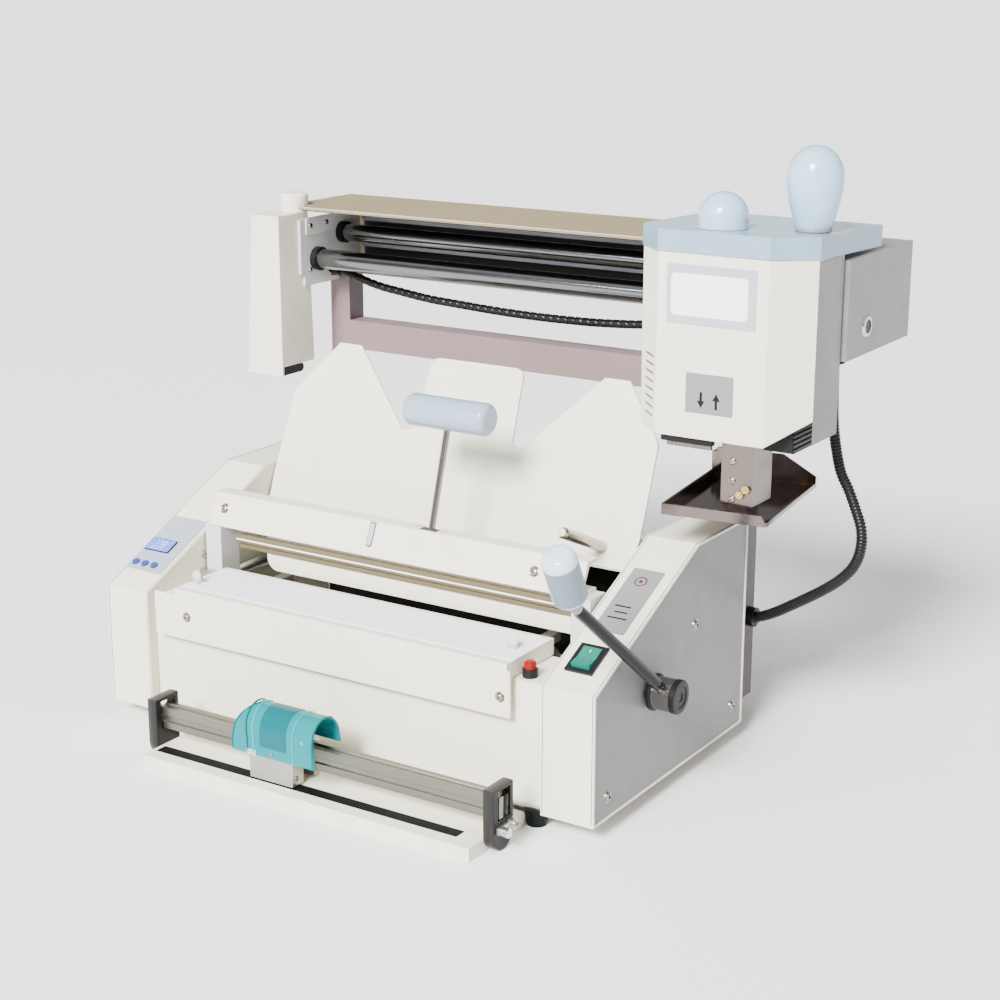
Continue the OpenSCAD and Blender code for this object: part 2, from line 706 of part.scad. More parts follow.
module front_jaw() place() color(cream) {
    top_y = jaw_front + jaw_face * sin(lean);
    top_z = jaw_z + jaw_face * cos(lean);
    t = 3;
    difference() {
        along_x(jaw_left, jaw_right) polygon([
            [jaw_front, jaw_z], [top_y, top_z], [top_y + 15, top_z], [top_y + 15, top_z - t],
            [top_y + t / cos(lean), top_z - t], [jaw_front + t / cos(lean) + t * tan(lean), jaw_z + t],
            [jaw_depth, jaw_z + t], [jaw_depth, jaw_z]]);
        span([lever_pivot[0] - 14, top_y + 2.4, top_z - 5], [lever_pivot[0] + 14, 110, top_z + 1]);
        span([pin_at[0] - 9, top_y + t + 0.4, top_z - 5], [pin_at[0] + 9, 110, top_z + 1]);
    }
    difference() {
        span([-140, 88, apron_z], [185, 90, jaw_z]);
        span([-141, 87, apron_z - 1], [-128, 91, apron_z + 12]);
    }
    intersection() {
        bar_y(88, 90, -128, apron_z + 12, 12);
        span([-141, 87, apron_z - 1], [-128, 91, apron_z + 12]);
    }
    for (x = [-13, 9]) difference() {
        span([lever_pivot[0] + x, top_y + 1.5, jaw_z + t], [lever_pivot[0] + x + 4, jaw_depth, top_z]);
        bar_x(lever_pivot[0] + x - 1, lever_pivot[0] + x + 5, lever_pivot[1], lever_pivot[2],
              lever_pin_r + running);
    }
}

module jaw_sliders() place() color(steel) {
    for (side = [0, 1]) mirror([side, 0, 0]) difference() {
        span([guide_x - 9, 79, guide_z - 8], [guide_x + 9, 104, jaw_z]);
        bar_y(78, 105, guide_x, guide_z, guide_r + running);
    }
}

module press_bar() place() color(dark) {
    span([-180, 110, 177], [pin_at[0] - 12, 118, 195]);
}

module clamp_lever() place() color(chrome) translate(lever_pivot) {
    rotate([0, 90, 0]) translate([0, 0, -8.5]) cylinder(h = 17, r = lever_hub_r);
    rotate([0, 90, 0]) translate([0, 0, -13]) cylinder(h = 26, r = lever_pin_r);
    rotate([-lever_lean, 0, 0]) cylinder(h = lever_len + 10, r = lever_r);
}

module clamp_grip() place() color(pale_blue) translate(lever_pivot) rotate([-lever_lean, 0, 0])
    translate([-tee_len / 2, 0, lever_len]) rotate([0, 90, 0]) difference() {
        union() {
            cylinder(h = 5, r1 = tee_r - 4, r2 = tee_r);
            translate([0, 0, 5]) cylinder(h = tee_len - 10, r = tee_r);
            translate([0, 0, tee_len - 5]) cylinder(h = 5, r1 = tee_r, r2 = tee_r - 4);
        }
        translate([0, 0, tee_len / 2]) rotate([0, 90, 0]) translate([0, 0, -10])
            cylinder(h = 30, r = lever_r + running);
    }

// ---------- controls ----------

module display_plate() place() color(pale_blue) difference() {
    union() {
        on_slope(-233, 23) translate([-21, 0, 0]) cube([42, 75, 0.8]);
        on_slope(display_at[0], display_at[1]) translate([-14.6, -8.6, -4]) cube([29.2, 17.2, 5.4]);
    }
    for (x = button_x) on_slope(x, button_y) translate([0, 0, -1]) cylinder(h = 3, r = 3.4 + gap);
}

module display_button(x) {
    place() color("#24406e") on_slope(x, button_y) translate([0, 0, -3]) cylinder(h = 5.2, r = 3.4);
}

module button_left() display_button(button_x[0]);
module button_middle() display_button(button_x[1]);
module button_right() display_button(button_x[2]);

// Rocker switch frame and push button collar
module switch_bezels() place() color(dark) {
    on_slope(switch_at[0], switch_at[1]) difference() {
        union() {
            translate([-12.5, -15.5, 0]) cube([25, 31, 2.5]);
            translate([-9.3, -12.8, -14]) cube([18.6, 25.6, 14]);
        }
        translate([-8.5, -12, -12]) cube([17, 24, 20]);
        rotate([0, 90, 0]) translate([0, 0, -9.1]) cylinder(h = 18.2, r = 1.2 + running);
    }
    translate([push_at[0], push_at[1], shelf_z]) difference() {
        cylinder(h = 7, r = 6.5);
        translate([0, 0, 2]) cylinder(h = 8, r = 5 + gap);
    }
}

module rocker() place() color("#1f9a6e") on_slope(switch_at[0], switch_at[1]) {
    translate([-8.2, 0, 0]) rotate([-6, 0, 0]) rotate([90, 0, 90]) linear_extrude(16.4)
        polygon([[-11, -1], [-5, -7], [5, -7], [11, -1], [11.3, 4.6], [0, 3], [-11.3, 4.6]]);
    rotate([0, 90, 0]) translate([0, 0, -9]) cylinder(h = 18, r = 1.2);
}

module push_button() place() color("#b01818") translate([push_at[0], push_at[1], shelf_z + 5.5]) {
    cylinder(h = 6.5, r = 5);
    translate([0, 0, 6.5]) cylinder(h = 1.2, r1 = 5, r2 = 3.8);
}

// ---------- rail cutter ----------

module cutter_table() place() color(cream) {
    difference() {
        span([cutter_left, -76, 0], [cutter_right, 5, cutter_h]);
        span([cutter_left + 2, -74, -1], [cutter_right - 2, 3, cutter_h - 2]);
        span([cutter_left + 4, -58, cutter_h - 1], [cutter_right - 20, -52, cutter_h + 1]);
    }
    for (x = [-120, 120]) span([x - 15, -10, cutter_h], [x + 15, 60, foot_h]);
}

module rail_brackets() place() color(dark) {
    for (x = [cutter_left - 10, cutter_right]) difference() {
        union() {
            span([x, -56, 15], [x + 10, -28, 54]);
            bar_x(x, x + 10, -42, 15, 14);
        }
        span([x - 1, -50, rail_z - 0.5], [x + 11, -32, 51.5]);
    }
}

module cutter_rail() place() color("#b9bcbb") {
    groove = 1.5;
    along_x(cutter_left - 6, cutter_right + 6) polygon([
        [rail_y, rail_z], [rail_y + rail_w, rail_z], [rail_y + rail_w, rail_z + rail_h],
        [rail_y + 10, rail_z + rail_h], [rail_y + 9, rail_z + rail_h - groove],
        [rail_y + 5, rail_z + rail_h - groove], [rail_y + 4, rail_z + rail_h],
        [rail_y, rail_z + rail_h], [rail_y, rail_z + 12], [rail_y + groove, rail_z + 11],
        [rail_y + groove, rail_z + 7], [rail_y, rail_z + 6]]);
}

module cutter_carriage() place() color(steel) {
    difference() {
        translate(saddle) cube(saddle_size);
        span([saddle[0] - 1, rail_y - gap, 0],
             [saddle[0] + 50, rail_y + rail_w + gap, rail_z + rail_h + gap]);
        bar_y(wheel_at[1] - 1.5, wheel_at[1] + 1.5, wheel_at[0], wheel_at[2], wheel_d / 2 + 2);
        span([wheel_at[0] - 16, wheel_at[1] - 1.5, 0], [wheel_at[0] + 16, wheel_at[1] + 1.5, wheel_at[2]]);
    }
    bar_y(wheel_at[1] - 1.5, wheel_at[1] + 1.5, wheel_at[0], wheel_at[2], 2);
}

module cutting_wheel() place() color(chrome) translate([wheel_at[0], wheel_at[1] + 0.6, wheel_at[2]])
    rotate([90, 0, 0]) difference() {
        union() {
            translate([0, 0, 0.5]) cylinder(h = 0.7, r1 = wheel_d / 2, r2 = wheel_d / 2 - 1);
            cylinder(h = 0.5, r = wheel_d / 2);
        }
        translate([0, 0, -1]) cylinder(h = 3, r = 2 + running);
    }

// Arched hood: open at both ends and below, its left end rounded off as seen from the front
module cutter_hood() place() color(teal) {
    difference() {
        intersection() {
            union() {
                bar_x(-54, 33, hood[0], hood[1], hood_r);
                span([-54, hood[0] - hood_r, 37], [33, hood[0], hood[1]]);
                span([-54, hood[0], 50.5], [33, hood[0] + hood_r, hood[1]]);
            }
            along_y(-80, -20) polygon(concat([[33, 36], [29.5, 80], [-33, 80]],
                [for (a = [90 : 10 : 180]) [-33 + 21 * cos(a), 39 + 38 * sin(a)]], [[-54, 36]]));
        }
        bar_x(-55, 34, hood[0], hood[1], hood_r - 2);
        span([-55, hood[0] - hood_r + 2, 20], [34, hood[0] + hood_r - 2, hood[1]]);
        span([-55, hood[0], 20], [34, hood[0] + hood_r + 1, 50.5]);
    }
    for (x = [-30, -6]) span([x, hood[0] - 5, saddle[2] + saddle_size[2]],
                             [x + 6, hood[0] + 5, hood[1] + hood_r - 1.7]);
}

module rail_latch() place() color(steel) {
    x = cutter_right + 10 + gap;
    bar_x(x, x + 5, latch_at[0], latch_at[1], 5);
    span([x, latch_at[0] - 20, latch_at[1] - 3], [x + 3, latch_at[0], latch_at[1] + 3]);
    bar_x(x + 3, x + 8.5, latch_at[0] - 17, latch_at[1], 4);
}

base_pan();
left_housing();
right_housing();
side_covers();
front_panel();
rear_panel();
rubber_feet();
gantry_frame();
gantry_beam();
end_plates();
left_column();
right_end_cover();
slide_rods();
fixed_bushes();
drip_tray();
support_plate();
guide_pin();
jaw_guides();
display_plate();
switch_bezels();
cutter_table();
rail_brackets();
control_board();
power_inlet();
power_conduit();
trailing_cable();
cable_glands();
head_carriage();
carriage_bushes();
head_shell();
head_lid();
heat_guard();
glue_pot();
pot_heaters();
nozzle();
nozzle_guard();
filler_cap();
egg_handle();
valve_rod();
cam_shaft();
crank_arm();
crank_grip();
cover_table();
lift_frame();
front_jaw();
jaw_sliders();
press_bar();
clamp_lever();
clamp_grip();
rocker();
push_button();
button_left();
button_middle();
button_right();
column_knob();
cutter_rail();
cutter_carriage();
cutter_hood();
cutting_wheel();
rail_latch();
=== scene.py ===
import bmesh
import bpy
import json
import math
from mathutils import Matrix, Vector

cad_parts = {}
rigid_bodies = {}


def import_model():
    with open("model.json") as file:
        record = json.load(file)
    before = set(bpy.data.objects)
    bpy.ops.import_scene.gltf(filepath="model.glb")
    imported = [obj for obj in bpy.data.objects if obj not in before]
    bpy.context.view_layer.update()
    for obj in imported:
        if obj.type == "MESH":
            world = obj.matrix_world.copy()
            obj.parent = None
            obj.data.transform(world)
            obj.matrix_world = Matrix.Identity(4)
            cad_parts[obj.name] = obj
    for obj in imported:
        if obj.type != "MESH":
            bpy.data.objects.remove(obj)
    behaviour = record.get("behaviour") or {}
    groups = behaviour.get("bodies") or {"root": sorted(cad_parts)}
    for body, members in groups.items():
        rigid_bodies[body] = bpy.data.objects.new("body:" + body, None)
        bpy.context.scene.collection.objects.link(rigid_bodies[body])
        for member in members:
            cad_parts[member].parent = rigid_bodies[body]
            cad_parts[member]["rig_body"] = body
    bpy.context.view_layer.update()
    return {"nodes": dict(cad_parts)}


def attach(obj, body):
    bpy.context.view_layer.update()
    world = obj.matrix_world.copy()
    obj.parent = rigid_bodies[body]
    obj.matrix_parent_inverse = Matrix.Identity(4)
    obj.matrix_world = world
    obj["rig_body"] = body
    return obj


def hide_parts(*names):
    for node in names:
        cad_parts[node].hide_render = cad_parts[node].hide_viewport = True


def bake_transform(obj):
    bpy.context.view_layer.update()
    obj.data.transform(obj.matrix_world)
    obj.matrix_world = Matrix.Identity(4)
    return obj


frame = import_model()

# ---------- places ----------
# Machine coordinates are in millimetres: X from the middle of the base, Y from the housings' front
# face, Z up.
MM = 1 / 1000
CENTRE = (45.2, 130.8)         # machine X and Y of the frame's origin
NOSE = 126                     # height of the housings' front face, where their slope starts
SLOPE = math.atan(80 / 170)    # slope of the housings' tops
LEAN = 24                      # degrees that the jaw's face leans back
SIDE_FACE = 255                # outer faces of the side covers, left and right
HEAD_FRONT, HEAD_RIGHT = 142, 352
JAW_FOOT = (77.5, 173)         # Y and Z of the lower edge of the jaw's face
CRANK_AXIS = (91.5, 101.6)     # Y and Z of the cam shaft
CRANK_TIP = (272, -62, 222)    # where the crank's arm meets its grip


def P(x, y, z):
    """A machine point as a point of the frame, in metres."""
    return Vector(((x - CENTRE[0]) * MM, (y - CENTRE[1]) * MM, z * MM))


def place(x, y, z, turn=None):
    """A local frame in metres at a machine point."""
    m = Matrix.Translation(P(x, y, z))
    return m @ turn if turn is not None else m


def rot(axis, degrees):
    return Matrix.Rotation(math.radians(degrees), 4, axis)


def slope_z(y):
    return NOSE + y * math.tan(SLOPE)


def on_slope(x, y):
    """On top of a housing's slope, local y up the slope."""
    return place(x, y, slope_z(y), Matrix.Rotation(SLOPE, 4, "X"))


def on_jaw(x, up):
    """On the jaw's leaning face, up millimetres from its lower edge."""
    return place(x, *JAW_FOOT, rot("X", 90 - LEAN)) @ Matrix.Translation((0, up * MM, 0))


FRONT = rot("X", 90)                 # local z out of a front face, local y up
RIGHT = rot("Z", 90) @ rot("X", 90)  # local z along +X
LEFT = rot("Z", -90) @ rot("X", 90)  # local z along -X


def new_object(name, data):
    o = bpy.data.objects.new(name, data)
    bpy.context.scene.collection.objects.link(o)
    return o


def aim(o, direction):
    """Turns a camera or a light to look along a direction."""
    o.rotation_mode = "QUATERNION"
    o.rotation_quaternion = direction.to_track_quat("-Z", "Y")


# ---------- camera ----------
# At the photograph's angle
CAMERA_AT = (951.1, -1214.0, 682.7)
CAMERA_TURN, CAMERA_TILT = math.radians(32.8), math.radians(15.9)

cam_data = bpy.data.cameras.new("camera")
cam_data.sensor_width = 36
cam_data.lens = 69.84
cam_data.clip_start, cam_data.clip_end = 0.05, 200
cam = new_object("camera", cam_data)
cam.location = P(*CAMERA_AT)
aim(cam, Vector((-math.sin(CAMERA_TURN) * math.cos(CAMERA_TILT),
                 math.cos(CAMERA_TURN) * math.cos(CAMERA_TILT),
                 -math.sin(CAMERA_TILT))))
bpy.context.scene.camera = cam

# ---------- material parts ----------


def new_material(name):
    """A new material, its node tree and its Principled shader."""
    m = bpy.data.materials.new(name)
    m.use_nodes = True
    return m, m.node_tree, m.node_tree.nodes["Principled BSDF"]


def add(nt, kind, **settings):
    n = nt.nodes.new(kind)
    for key, value in settings.items():
        setattr(n, key, value)
    return n


def noise(nt, scale, detail=3.0, rough=0.55, vector=None):
    n = add(nt, "ShaderNodeTexNoise")
    n.inputs["Scale"].default_value = scale
    n.inputs["Detail"].default_value = detail
    n.inputs["Roughness"].default_value = rough
    if vector is None:
        vector = add(nt, "ShaderNodeTexCoord").outputs["Object"]
    nt.links.new(vector, n.inputs["Vector"])
    return n.outputs["Fac"]


def stretched(nt, scale):
    """Object coordinates scaled per axis, so that noise becomes brush lines."""
    m = add(nt, "ShaderNodeMapping")
    m.inputs["Scale"].default_value = scale
    nt.links.new(add(nt, "ShaderNodeTexCoord").outputs["Object"], m.inputs["Vector"])
    return m.outputs["Vector"]


def ramp(nt, fac, stops):
    """A colour ramp through (position, red-green-blue) stops."""
    r = add(nt, "ShaderNodeValToRGB")
    while len(r.color_ramp.elements) < len(stops):
        r.color_ramp.elements.new(0.5)
    for element, (position, colour) in zip(r.color_ramp.elements, stops):
        element.position = position
        element.color = (*colour, 1)
    nt.links.new(fac, r.inputs["Fac"])
    return r.outputs["Color"]


def shade(colour, factor):
    return tuple(min(1, v * factor) for v in colour)


def drift(nt, colour, scale, detail, low, high):
    """The colour, drifting slowly between two shades of itself."""
    return ramp(nt, noise(nt, scale, detail), [(0.3, shade(colour, low)), (0.7, shade(colour, high))])


def span(nt, fac, low, high):
    """A factor of 0 to 1 mapped to low to high."""
    r = add(nt, "ShaderNodeMapRange")
    r.inputs["To Min"].default_value = low
    r.inputs["To Max"].default_value = high
    nt.links.new(fac, r.inputs["Value"])
    return r.outputs["Result"]


def mixed(nt, fac, colour, other):
    """A constant colour laid over another by a factor."""
    mix = add(nt, "ShaderNodeMix", data_type="RGBA")
    nt.links.new(fac, mix.inputs["Factor"])
    nt.links.new(colour, mix.inputs["A"])
    mix.inputs["B"].default_value = (*other, 1)
    return mix.outputs["Result"]


def wear(nt, colour, worn, amount):
    """Mixes a worn colour in, in patches along the sharp edges."""
    geometry = add(nt, "ShaderNodeNewGeometry")
    edge = add(nt, "ShaderNodeMapRange")
    edge.inputs["From Min"].default_value = 0.52
    edge.inputs["From Max"].default_value = 0.62
    edge.inputs["To Max"].default_value = amount
    nt.links.new(geometry.outputs["Pointiness"], edge.inputs["Value"])
    patchy = add(nt, "ShaderNodeMath", operation="MULTIPLY")
    nt.links.new(edge.outputs["Result"], patchy.inputs[0])
    nt.links.new(noise(nt, 60, 4), patchy.inputs[1])
    return mixed(nt, patchy.outputs[0], colour, worn)


def relief(nt, bsdf, height, strength, distance=0.0001, edge=0.0004):
    """Edges that shade as if rounded, with a fine bump on top."""
    bevel = add(nt, "ShaderNodeBevel", samples=4)
    bevel.inputs["Radius"].default_value = edge
    bump = add(nt, "ShaderNodeBump")
    bump.inputs["Strength"].default_value = strength
    bump.inputs["Distance"].default_value = distance
    nt.links.new(height, bump.inputs["Height"])
    nt.links.new(bevel.outputs["Normal"], bump.inputs["Normal"])
    nt.links.new(bump.outputs["Normal"], bsdf.inputs["Normal"])


# ---------- kinds of material ----------


def painted(name, colour, rough=0.42, spread=0.04, coat=0.0, worn=None):
    """Powder-coated sheet: orange-peel bump, slight colour drift, paler or darker along the edges."""
    m, nt, b = new_material(name)
    base = drift(nt, colour, 6, 3, 1 - spread, 1 + spread * 0.6)
    nt.links.new(wear(nt, base, worn or shade(colour, 0.72), 0.5), b.inputs["Base Color"])
    nt.links.new(span(nt, noise(nt, 25, 4), rough - 0.05, rough + 0.07), b.inputs["Roughness"])
    b.inputs["Coat Weight"].default_value = coat
    b.inputs["Coat Roughness"].default_value = 0.25
    b.inputs["Specular IOR Level"].default_value = 0.22
    relief(nt, b, noise(nt, 700, 2, 0.5), 0.22, 0.00012, 0.0007)
    return m


def moulded(name, colour, rough=0.25, coat=0.3, spread=0.03, edge=0.0005, bump=0.05, gloss=0.4):
    """Injection-moulded plastic: faint flow marks and fine texture."""
    m, nt, b = new_material(name)
    nt.links.new(drift(nt, colour, 14, 4, 1 - spread, 1 + spread), b.inputs["Base Color"])
    nt.links.new(span(nt, noise(nt, 55, 5), rough - 0.04, rough + 0.08), b.inputs["Roughness"])
    b.inputs["Specular IOR Level"].default_value = gloss
    b.inputs["Coat Weight"].default_value = coat
    b.inputs["Coat Roughness"].default_value = 0.08
    relief(nt, b, noise(nt, 900, 2), bump, edge=edge)
    return m


def metal(name, colour, rough=0.2, brush=(1, 1, 1), brush_scale=300, bump=0.1, spread=0.06, stain=None):
    """Metal with brushing or turning marks, and stains if it has a stain colour. brush scales the marks'
    noise per axis, so they run along the axis with the smallest number."""
    m, nt, b = new_material(name)
    lines = noise(nt, brush_scale, 3, 0.6, stretched(nt, brush))
    base = drift(nt, colour, 18, 4, 1 - spread, 1 + spread * 0.5)
    if stain:
        blots = ramp(nt, noise(nt, 22, 5, 0.65), [(0.52, (0, 0, 0)), (0.72, (1, 1, 1))])
        base = mixed(nt, blots, base, stain)
    nt.links.new(base, b.inputs["Base Color"])
    b.inputs["Metallic"].default_value = 1.0
    nt.links.new(span(nt, lines, max(0.02, rough - 0.06), rough + 0.1), b.inputs["Roughness"])
    relief(nt, b, lines, bump)
    return m


def translucent(name, colour, rough, weight, ior):
    """Tinted clear plastic."""
    m, nt, b = new_material(name)
    nt.links.new(drift(nt, colour, 20, 3, 0.94, 1.05), b.inputs["Base Color"])
    nt.links.new(span(nt, noise(nt, 60, 4), rough - 0.03, rough + 0.05), b.inputs["Roughness"])
    b.inputs["Transmission Weight"].default_value = weight
    b.inputs["IOR"].default_value = ior
    b.inputs["Specular IOR Level"].default_value = 0.35
    relief(nt, b, noise(nt, 120, 2), 0.05, 0.0002)
    return m


def glowing(name, colour, glow, strength, rough=0.15):
    """Plastic lit from inside."""
    m, nt, b = new_material(name)
    nt.links.new(drift(nt, colour, 90, 2, 0.9, 1), b.inputs["Base Color"])
    b.inputs["Roughness"].default_value = rough
    b.inputs["Emission Color"].default_value = (*glow, 1)
    b.inputs["Emission Strength"].default_value = strength
    b.inputs["Coat Weight"].default_value = 0.15
    relief(nt, b, noise(nt, 500, 2), 0.04)
    return m


# ---------- the materials ----------
CREAM = painted("cream_powder_coat", (0.80, 0.765, 0.63), 0.40)
# Painted shade: faces turned from the light (side covers, right end cover, head's side panel) get a dark grey
SHADED_SIDE = painted("side_cover_painted_shade", (0.17, 0.17, 0.172), 0.30, spread=0.05, worn=(0.30, 0.30, 0.29))
INNER = painted("inner_grey_coat", (0.60, 0.60, 0.59), 0.36)
# Near-black that stands for painted shade in the beam's channel and behind the rear panel's vents
SHADE_BLACK = painted("dark_painted_shade", (0.012, 0.010, 0.009), 0.6)
POST = painted("mauve_post_coat", (0.22, 0.16, 0.16), 0.36)
# Painted shade for the posts' right faces
POST_SHADE = painted("post_painted_shade", (0.075, 0.055, 0.062), 0.36)
# Painted shade under the jaw's overhang, in dark olive
LEDGE_SHADE = painted("olive_ledge_painted_shade", (0.13, 0.105, 0.055), 0.34)
ROD = metal("ground_rod", (0.20, 0.205, 0.215), 0.14, (0.4, 8, 8), 260, 0.03, 0.03)
KHAKI = painted("khaki_beam_coat", (0.28, 0.215, 0.115), 0.34)
BLUE = moulded("pale_blue_gloss", (0.36, 0.52, 0.67), 0.12, 0.3)
LID = painted("lid_blue_grey", (0.24, 0.36, 0.46), 0.18, coat=0.25)
GRIP = moulded("grip_blue_grey", (0.28, 0.36, 0.46), 0.26, 0.15)
WHITE_GRIP = moulded("white_gloss_grip", (0.58, 0.67, 0.78), 0.16, 0.4)
# Painted shade for the crank knob's side
GRIP_SHADE = moulded("grip_painted_shade", (0.15, 0.20, 0.25), 0.2, 0.2)
BLACK = moulded("black_plastic", (0.008, 0.008, 0.009), 0.38, 0.0, 0.2, gloss=0.18)
BRACKET = moulded("bracket_grey", (0.014, 0.013, 0.013), 0.30, 0.0, 0.15, gloss=0.25)
GLOSS_BLACK = moulded("gloss_black", (0.004, 0.006, 0.006), 0.10, 0.0, 0.2, gloss=0.09)
RUBBER = moulded("black_rubber", (0.006, 0.006, 0.006), 0.6, 0.0, 0.2, bump=0.2, gloss=0.06)
CABLE = moulded("cable_black", (0.006, 0.005, 0.005), 0.34, 0.0, 0.3, edge=0.0002, gloss=0.25)
RED = moulded("red_cap", (0.20, 0.001, 0.001), 0.2, 0.1, gloss=0.3)
NAVY = moulded("navy_key", (0.02, 0.06, 0.24), 0.2, 0.2)
PAD = moulded("white_pad", (0.86, 0.86, 0.95), 0.55, 0.0, 0.02, bump=0.1)
LABEL = moulded("label_grey", (0.20, 0.20, 0.205), 0.35, 0.0, 0.03, gloss=0.25)
LILAC = moulded("label_lilac", (0.42, 0.42, 0.48), 0.40, 0.0, 0.03, gloss=0.25)
WHITE = moulded("label_white", (0.95, 0.95, 0.96), 0.40, 0.1, 0.02)
PLATE_BLUE = moulded("display_plate_blue", (0.33, 0.37, 0.43), 0.35, 0.0, 0.03, gloss=0.3)
STEEL = metal("zinc_steel", (0.52, 0.52, 0.53), 0.30, (1, 1, 6), 220, 0.12)
CHROME = metal("hard_chrome_x", (0.60, 0.60, 0.61), 0.08, (0.4, 8, 8), 260, 0.04, 0.03)
DARK_CHROME = metal("dark_chrome", (0.30, 0.28, 0.27), 0.16, (1, 6, 6), 260, 0.06, 0.06)
PIN_CHROME = metal("chrome_pin", (0.44, 0.40, 0.34), 0.20, (8, 1, 1), 260, 0.06, 0.06)
SCREW = metal("nickel_screw", (0.40, 0.35, 0.28), 0.22, (1, 1, 1), 500, 0.1, 0.12)
BRASS = metal("brass", (0.66, 0.47, 0.20), 0.26, (1, 1, 3), 300, 0.12, 0.15, stain=(0.34, 0.22, 0.12))
BRONZE = metal("bronze", (0.55, 0.36, 0.17), 0.34, (1, 6, 6), 260, 0.1, 0.1)
ALU = metal("rail_aluminium", (0.22, 0.22, 0.18), 0.38, (0.2, 12, 12), 300, 0.25, 0.05)
LEVER = metal("lever_rod", (0.33, 0.31, 0.28), 0.14, (8, 8, 1), 260, 0.06, 0.05)
CAST = metal("cast_aluminium", (0.60, 0.60, 0.61), 0.42, (1, 1, 1), 380, 0.4, 0.08)
SATIN = metal("satin_saddle", (0.44, 0.44, 0.44), 0.34, (6, 1, 1), 260, 0.1, 0.06)
TRAY = metal("tray_steel", (0.22, 0.175, 0.165), 0.10, (1, 1, 1), 60, 0.05, 0.10, stain=(0.13, 0.10, 0.085))
GUARD = metal("guard_steel", (0.20, 0.17, 0.15), 0.16, (1, 1, 6), 260, 0.1, 0.10, stain=(0.14, 0.11, 0.09))
BOARD = moulded("circuit_board", (0.03, 0.16, 0.08), 0.35, 0.2, 0.2)
TEAL = translucent("teal_polycarbonate", (0.0, 0.215, 0.235), 0.10, 0.16, 1.3)
# Darker and lighter copies of the teal: painted shade and painted highlight on the hood's ribs, rims, field
# and edge
TEAL_SHADE = translucent("teal_painted_shade", (0.0, 0.11, 0.125), 0.14, 0.1, 1.3)
TEAL_HIGHLIGHT = translucent("teal_painted_highlight", (0.01, 0.42, 0.46), 0.1, 0.15, 1.3)
CLEAR = translucent("clear_clip", (0.86, 0.88, 0.88), 0.16, 0.55, 1.2)
GREEN = glowing("lit_green_rocker", (0.0, 0.15, 0.10), (0.0, 0.50, 0.38), 0.14)
LCD = glowing("lcd_blue", (0.10, 0.16, 0.62), (0.12, 0.2, 0.9), 0.7, 0.2)
DIGIT = glowing("lcd_digits", (0.75, 0.85, 1.0), (0.8, 0.9, 1.0), 0.8, 0.3)

NODE_MATERIAL = {
    "base_pan": STEEL, "left_housing": CREAM, "right_housing": CREAM, "side_covers": SHADED_SIDE,
    "front_panel": CREAM, "rear_panel": CREAM, "rubber_feet": GLOSS_BLACK, "gantry_frame": POST,
    "gantry_beam": KHAKI, "end_plates": INNER, "left_column": CREAM, "right_end_cover": SHADED_SIDE,
    "slide_rods": ROD, "fixed_bushes": BLACK, "drip_tray": TRAY, "support_plate": CREAM,
    "guide_pin": PIN_CHROME, "jaw_guides": STEEL, "display_plate": PLATE_BLUE, "switch_bezels": BLACK,
    "cutter_table": CREAM, "rail_brackets": BLACK, "control_board": BOARD, "power_inlet": BLACK,
    "power_conduit": CABLE, "trailing_cable": CABLE, "cable_glands": BLACK, "head_carriage": STEEL,
    "carriage_bushes": BRONZE, "head_shell": CREAM, "head_lid": LID, "heat_guard": BLACK,
    "glue_pot": CAST, "pot_heaters": BRONZE, "nozzle": BRASS, "nozzle_guard": GUARD,
    "filler_cap": BLUE, "egg_handle": BLUE, "valve_rod": CHROME, "cam_shaft": STEEL,
    "crank_arm": DARK_CHROME, "crank_grip": WHITE_GRIP, "cover_table": CREAM, "lift_frame": STEEL,
    "front_jaw": CREAM, "jaw_sliders": INNER, "press_bar": BLACK, "clamp_lever": LEVER,
    "clamp_grip": GRIP, "rocker": GREEN, "push_button": RED, "button_left": NAVY,
    "button_middle": NAVY, "button_right": NAVY, "column_knob": CREAM, "cutter_rail": ALU,
    "cutter_carriage": SATIN, "cutter_hood": TEAL, "cutting_wheel": CHROME, "rail_latch": STEEL,
}
for name, material in NODE_MATERIAL.items():
    for material_slot in frame["nodes"][name].material_slots:
        material_slot.link = "OBJECT"
        material_slot.material = material

# ---------- mesh helpers ----------


def finish_mesh(name, bm, material, body, at=None, angle=35):
    """Makes the piece, smooth but for edges sharper than angle, and rides it on its body."""
    bmesh.ops.remove_doubles(bm, verts=bm.verts, dist=1e-7)
    bmesh.ops.recalc_face_normals(bm, faces=bm.faces)
    mesh = bpy.data.meshes.new(name)
    bm.to_mesh(mesh)
    bm.free()
    if at is not None:
        mesh.transform(at)
    for p in mesh.polygons:
        p.use_smooth = True
    mesh.set_sharp_from_angle(angle=math.radians(angle))
    mesh.materials.append(material)
    o = new_object(name, mesh)
    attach(o, body)
    return o


def ring(bm, radius, z, count, unit=MM):
    """A circle of vertices about local z, its sizes given in millimetres."""
    r = radius * unit
    angles = [2 * math.pi * k / count for k in range(count)]
    return [bm.verts.new((r * math.cos(a), r * math.sin(a), z * unit)) for a in angles]


def skin(bm, rings):
    """Joins each ring of vertices to the next. A ring of one vertex closes to a point."""
    for a, b in zip(rings, rings[1:]):
        count = max(len(a), len(b))
        for k in range(count):
            q = (k + 1) % count
            if len(a) == 1:
                bm.faces.new((a[0], b[k], b[q]))
            elif len(b) == 1:
                bm.faces.new((a[k], a[q], b[0]))
            else:
                bm.faces.new((a[k], a[q], b[q], b[k]))


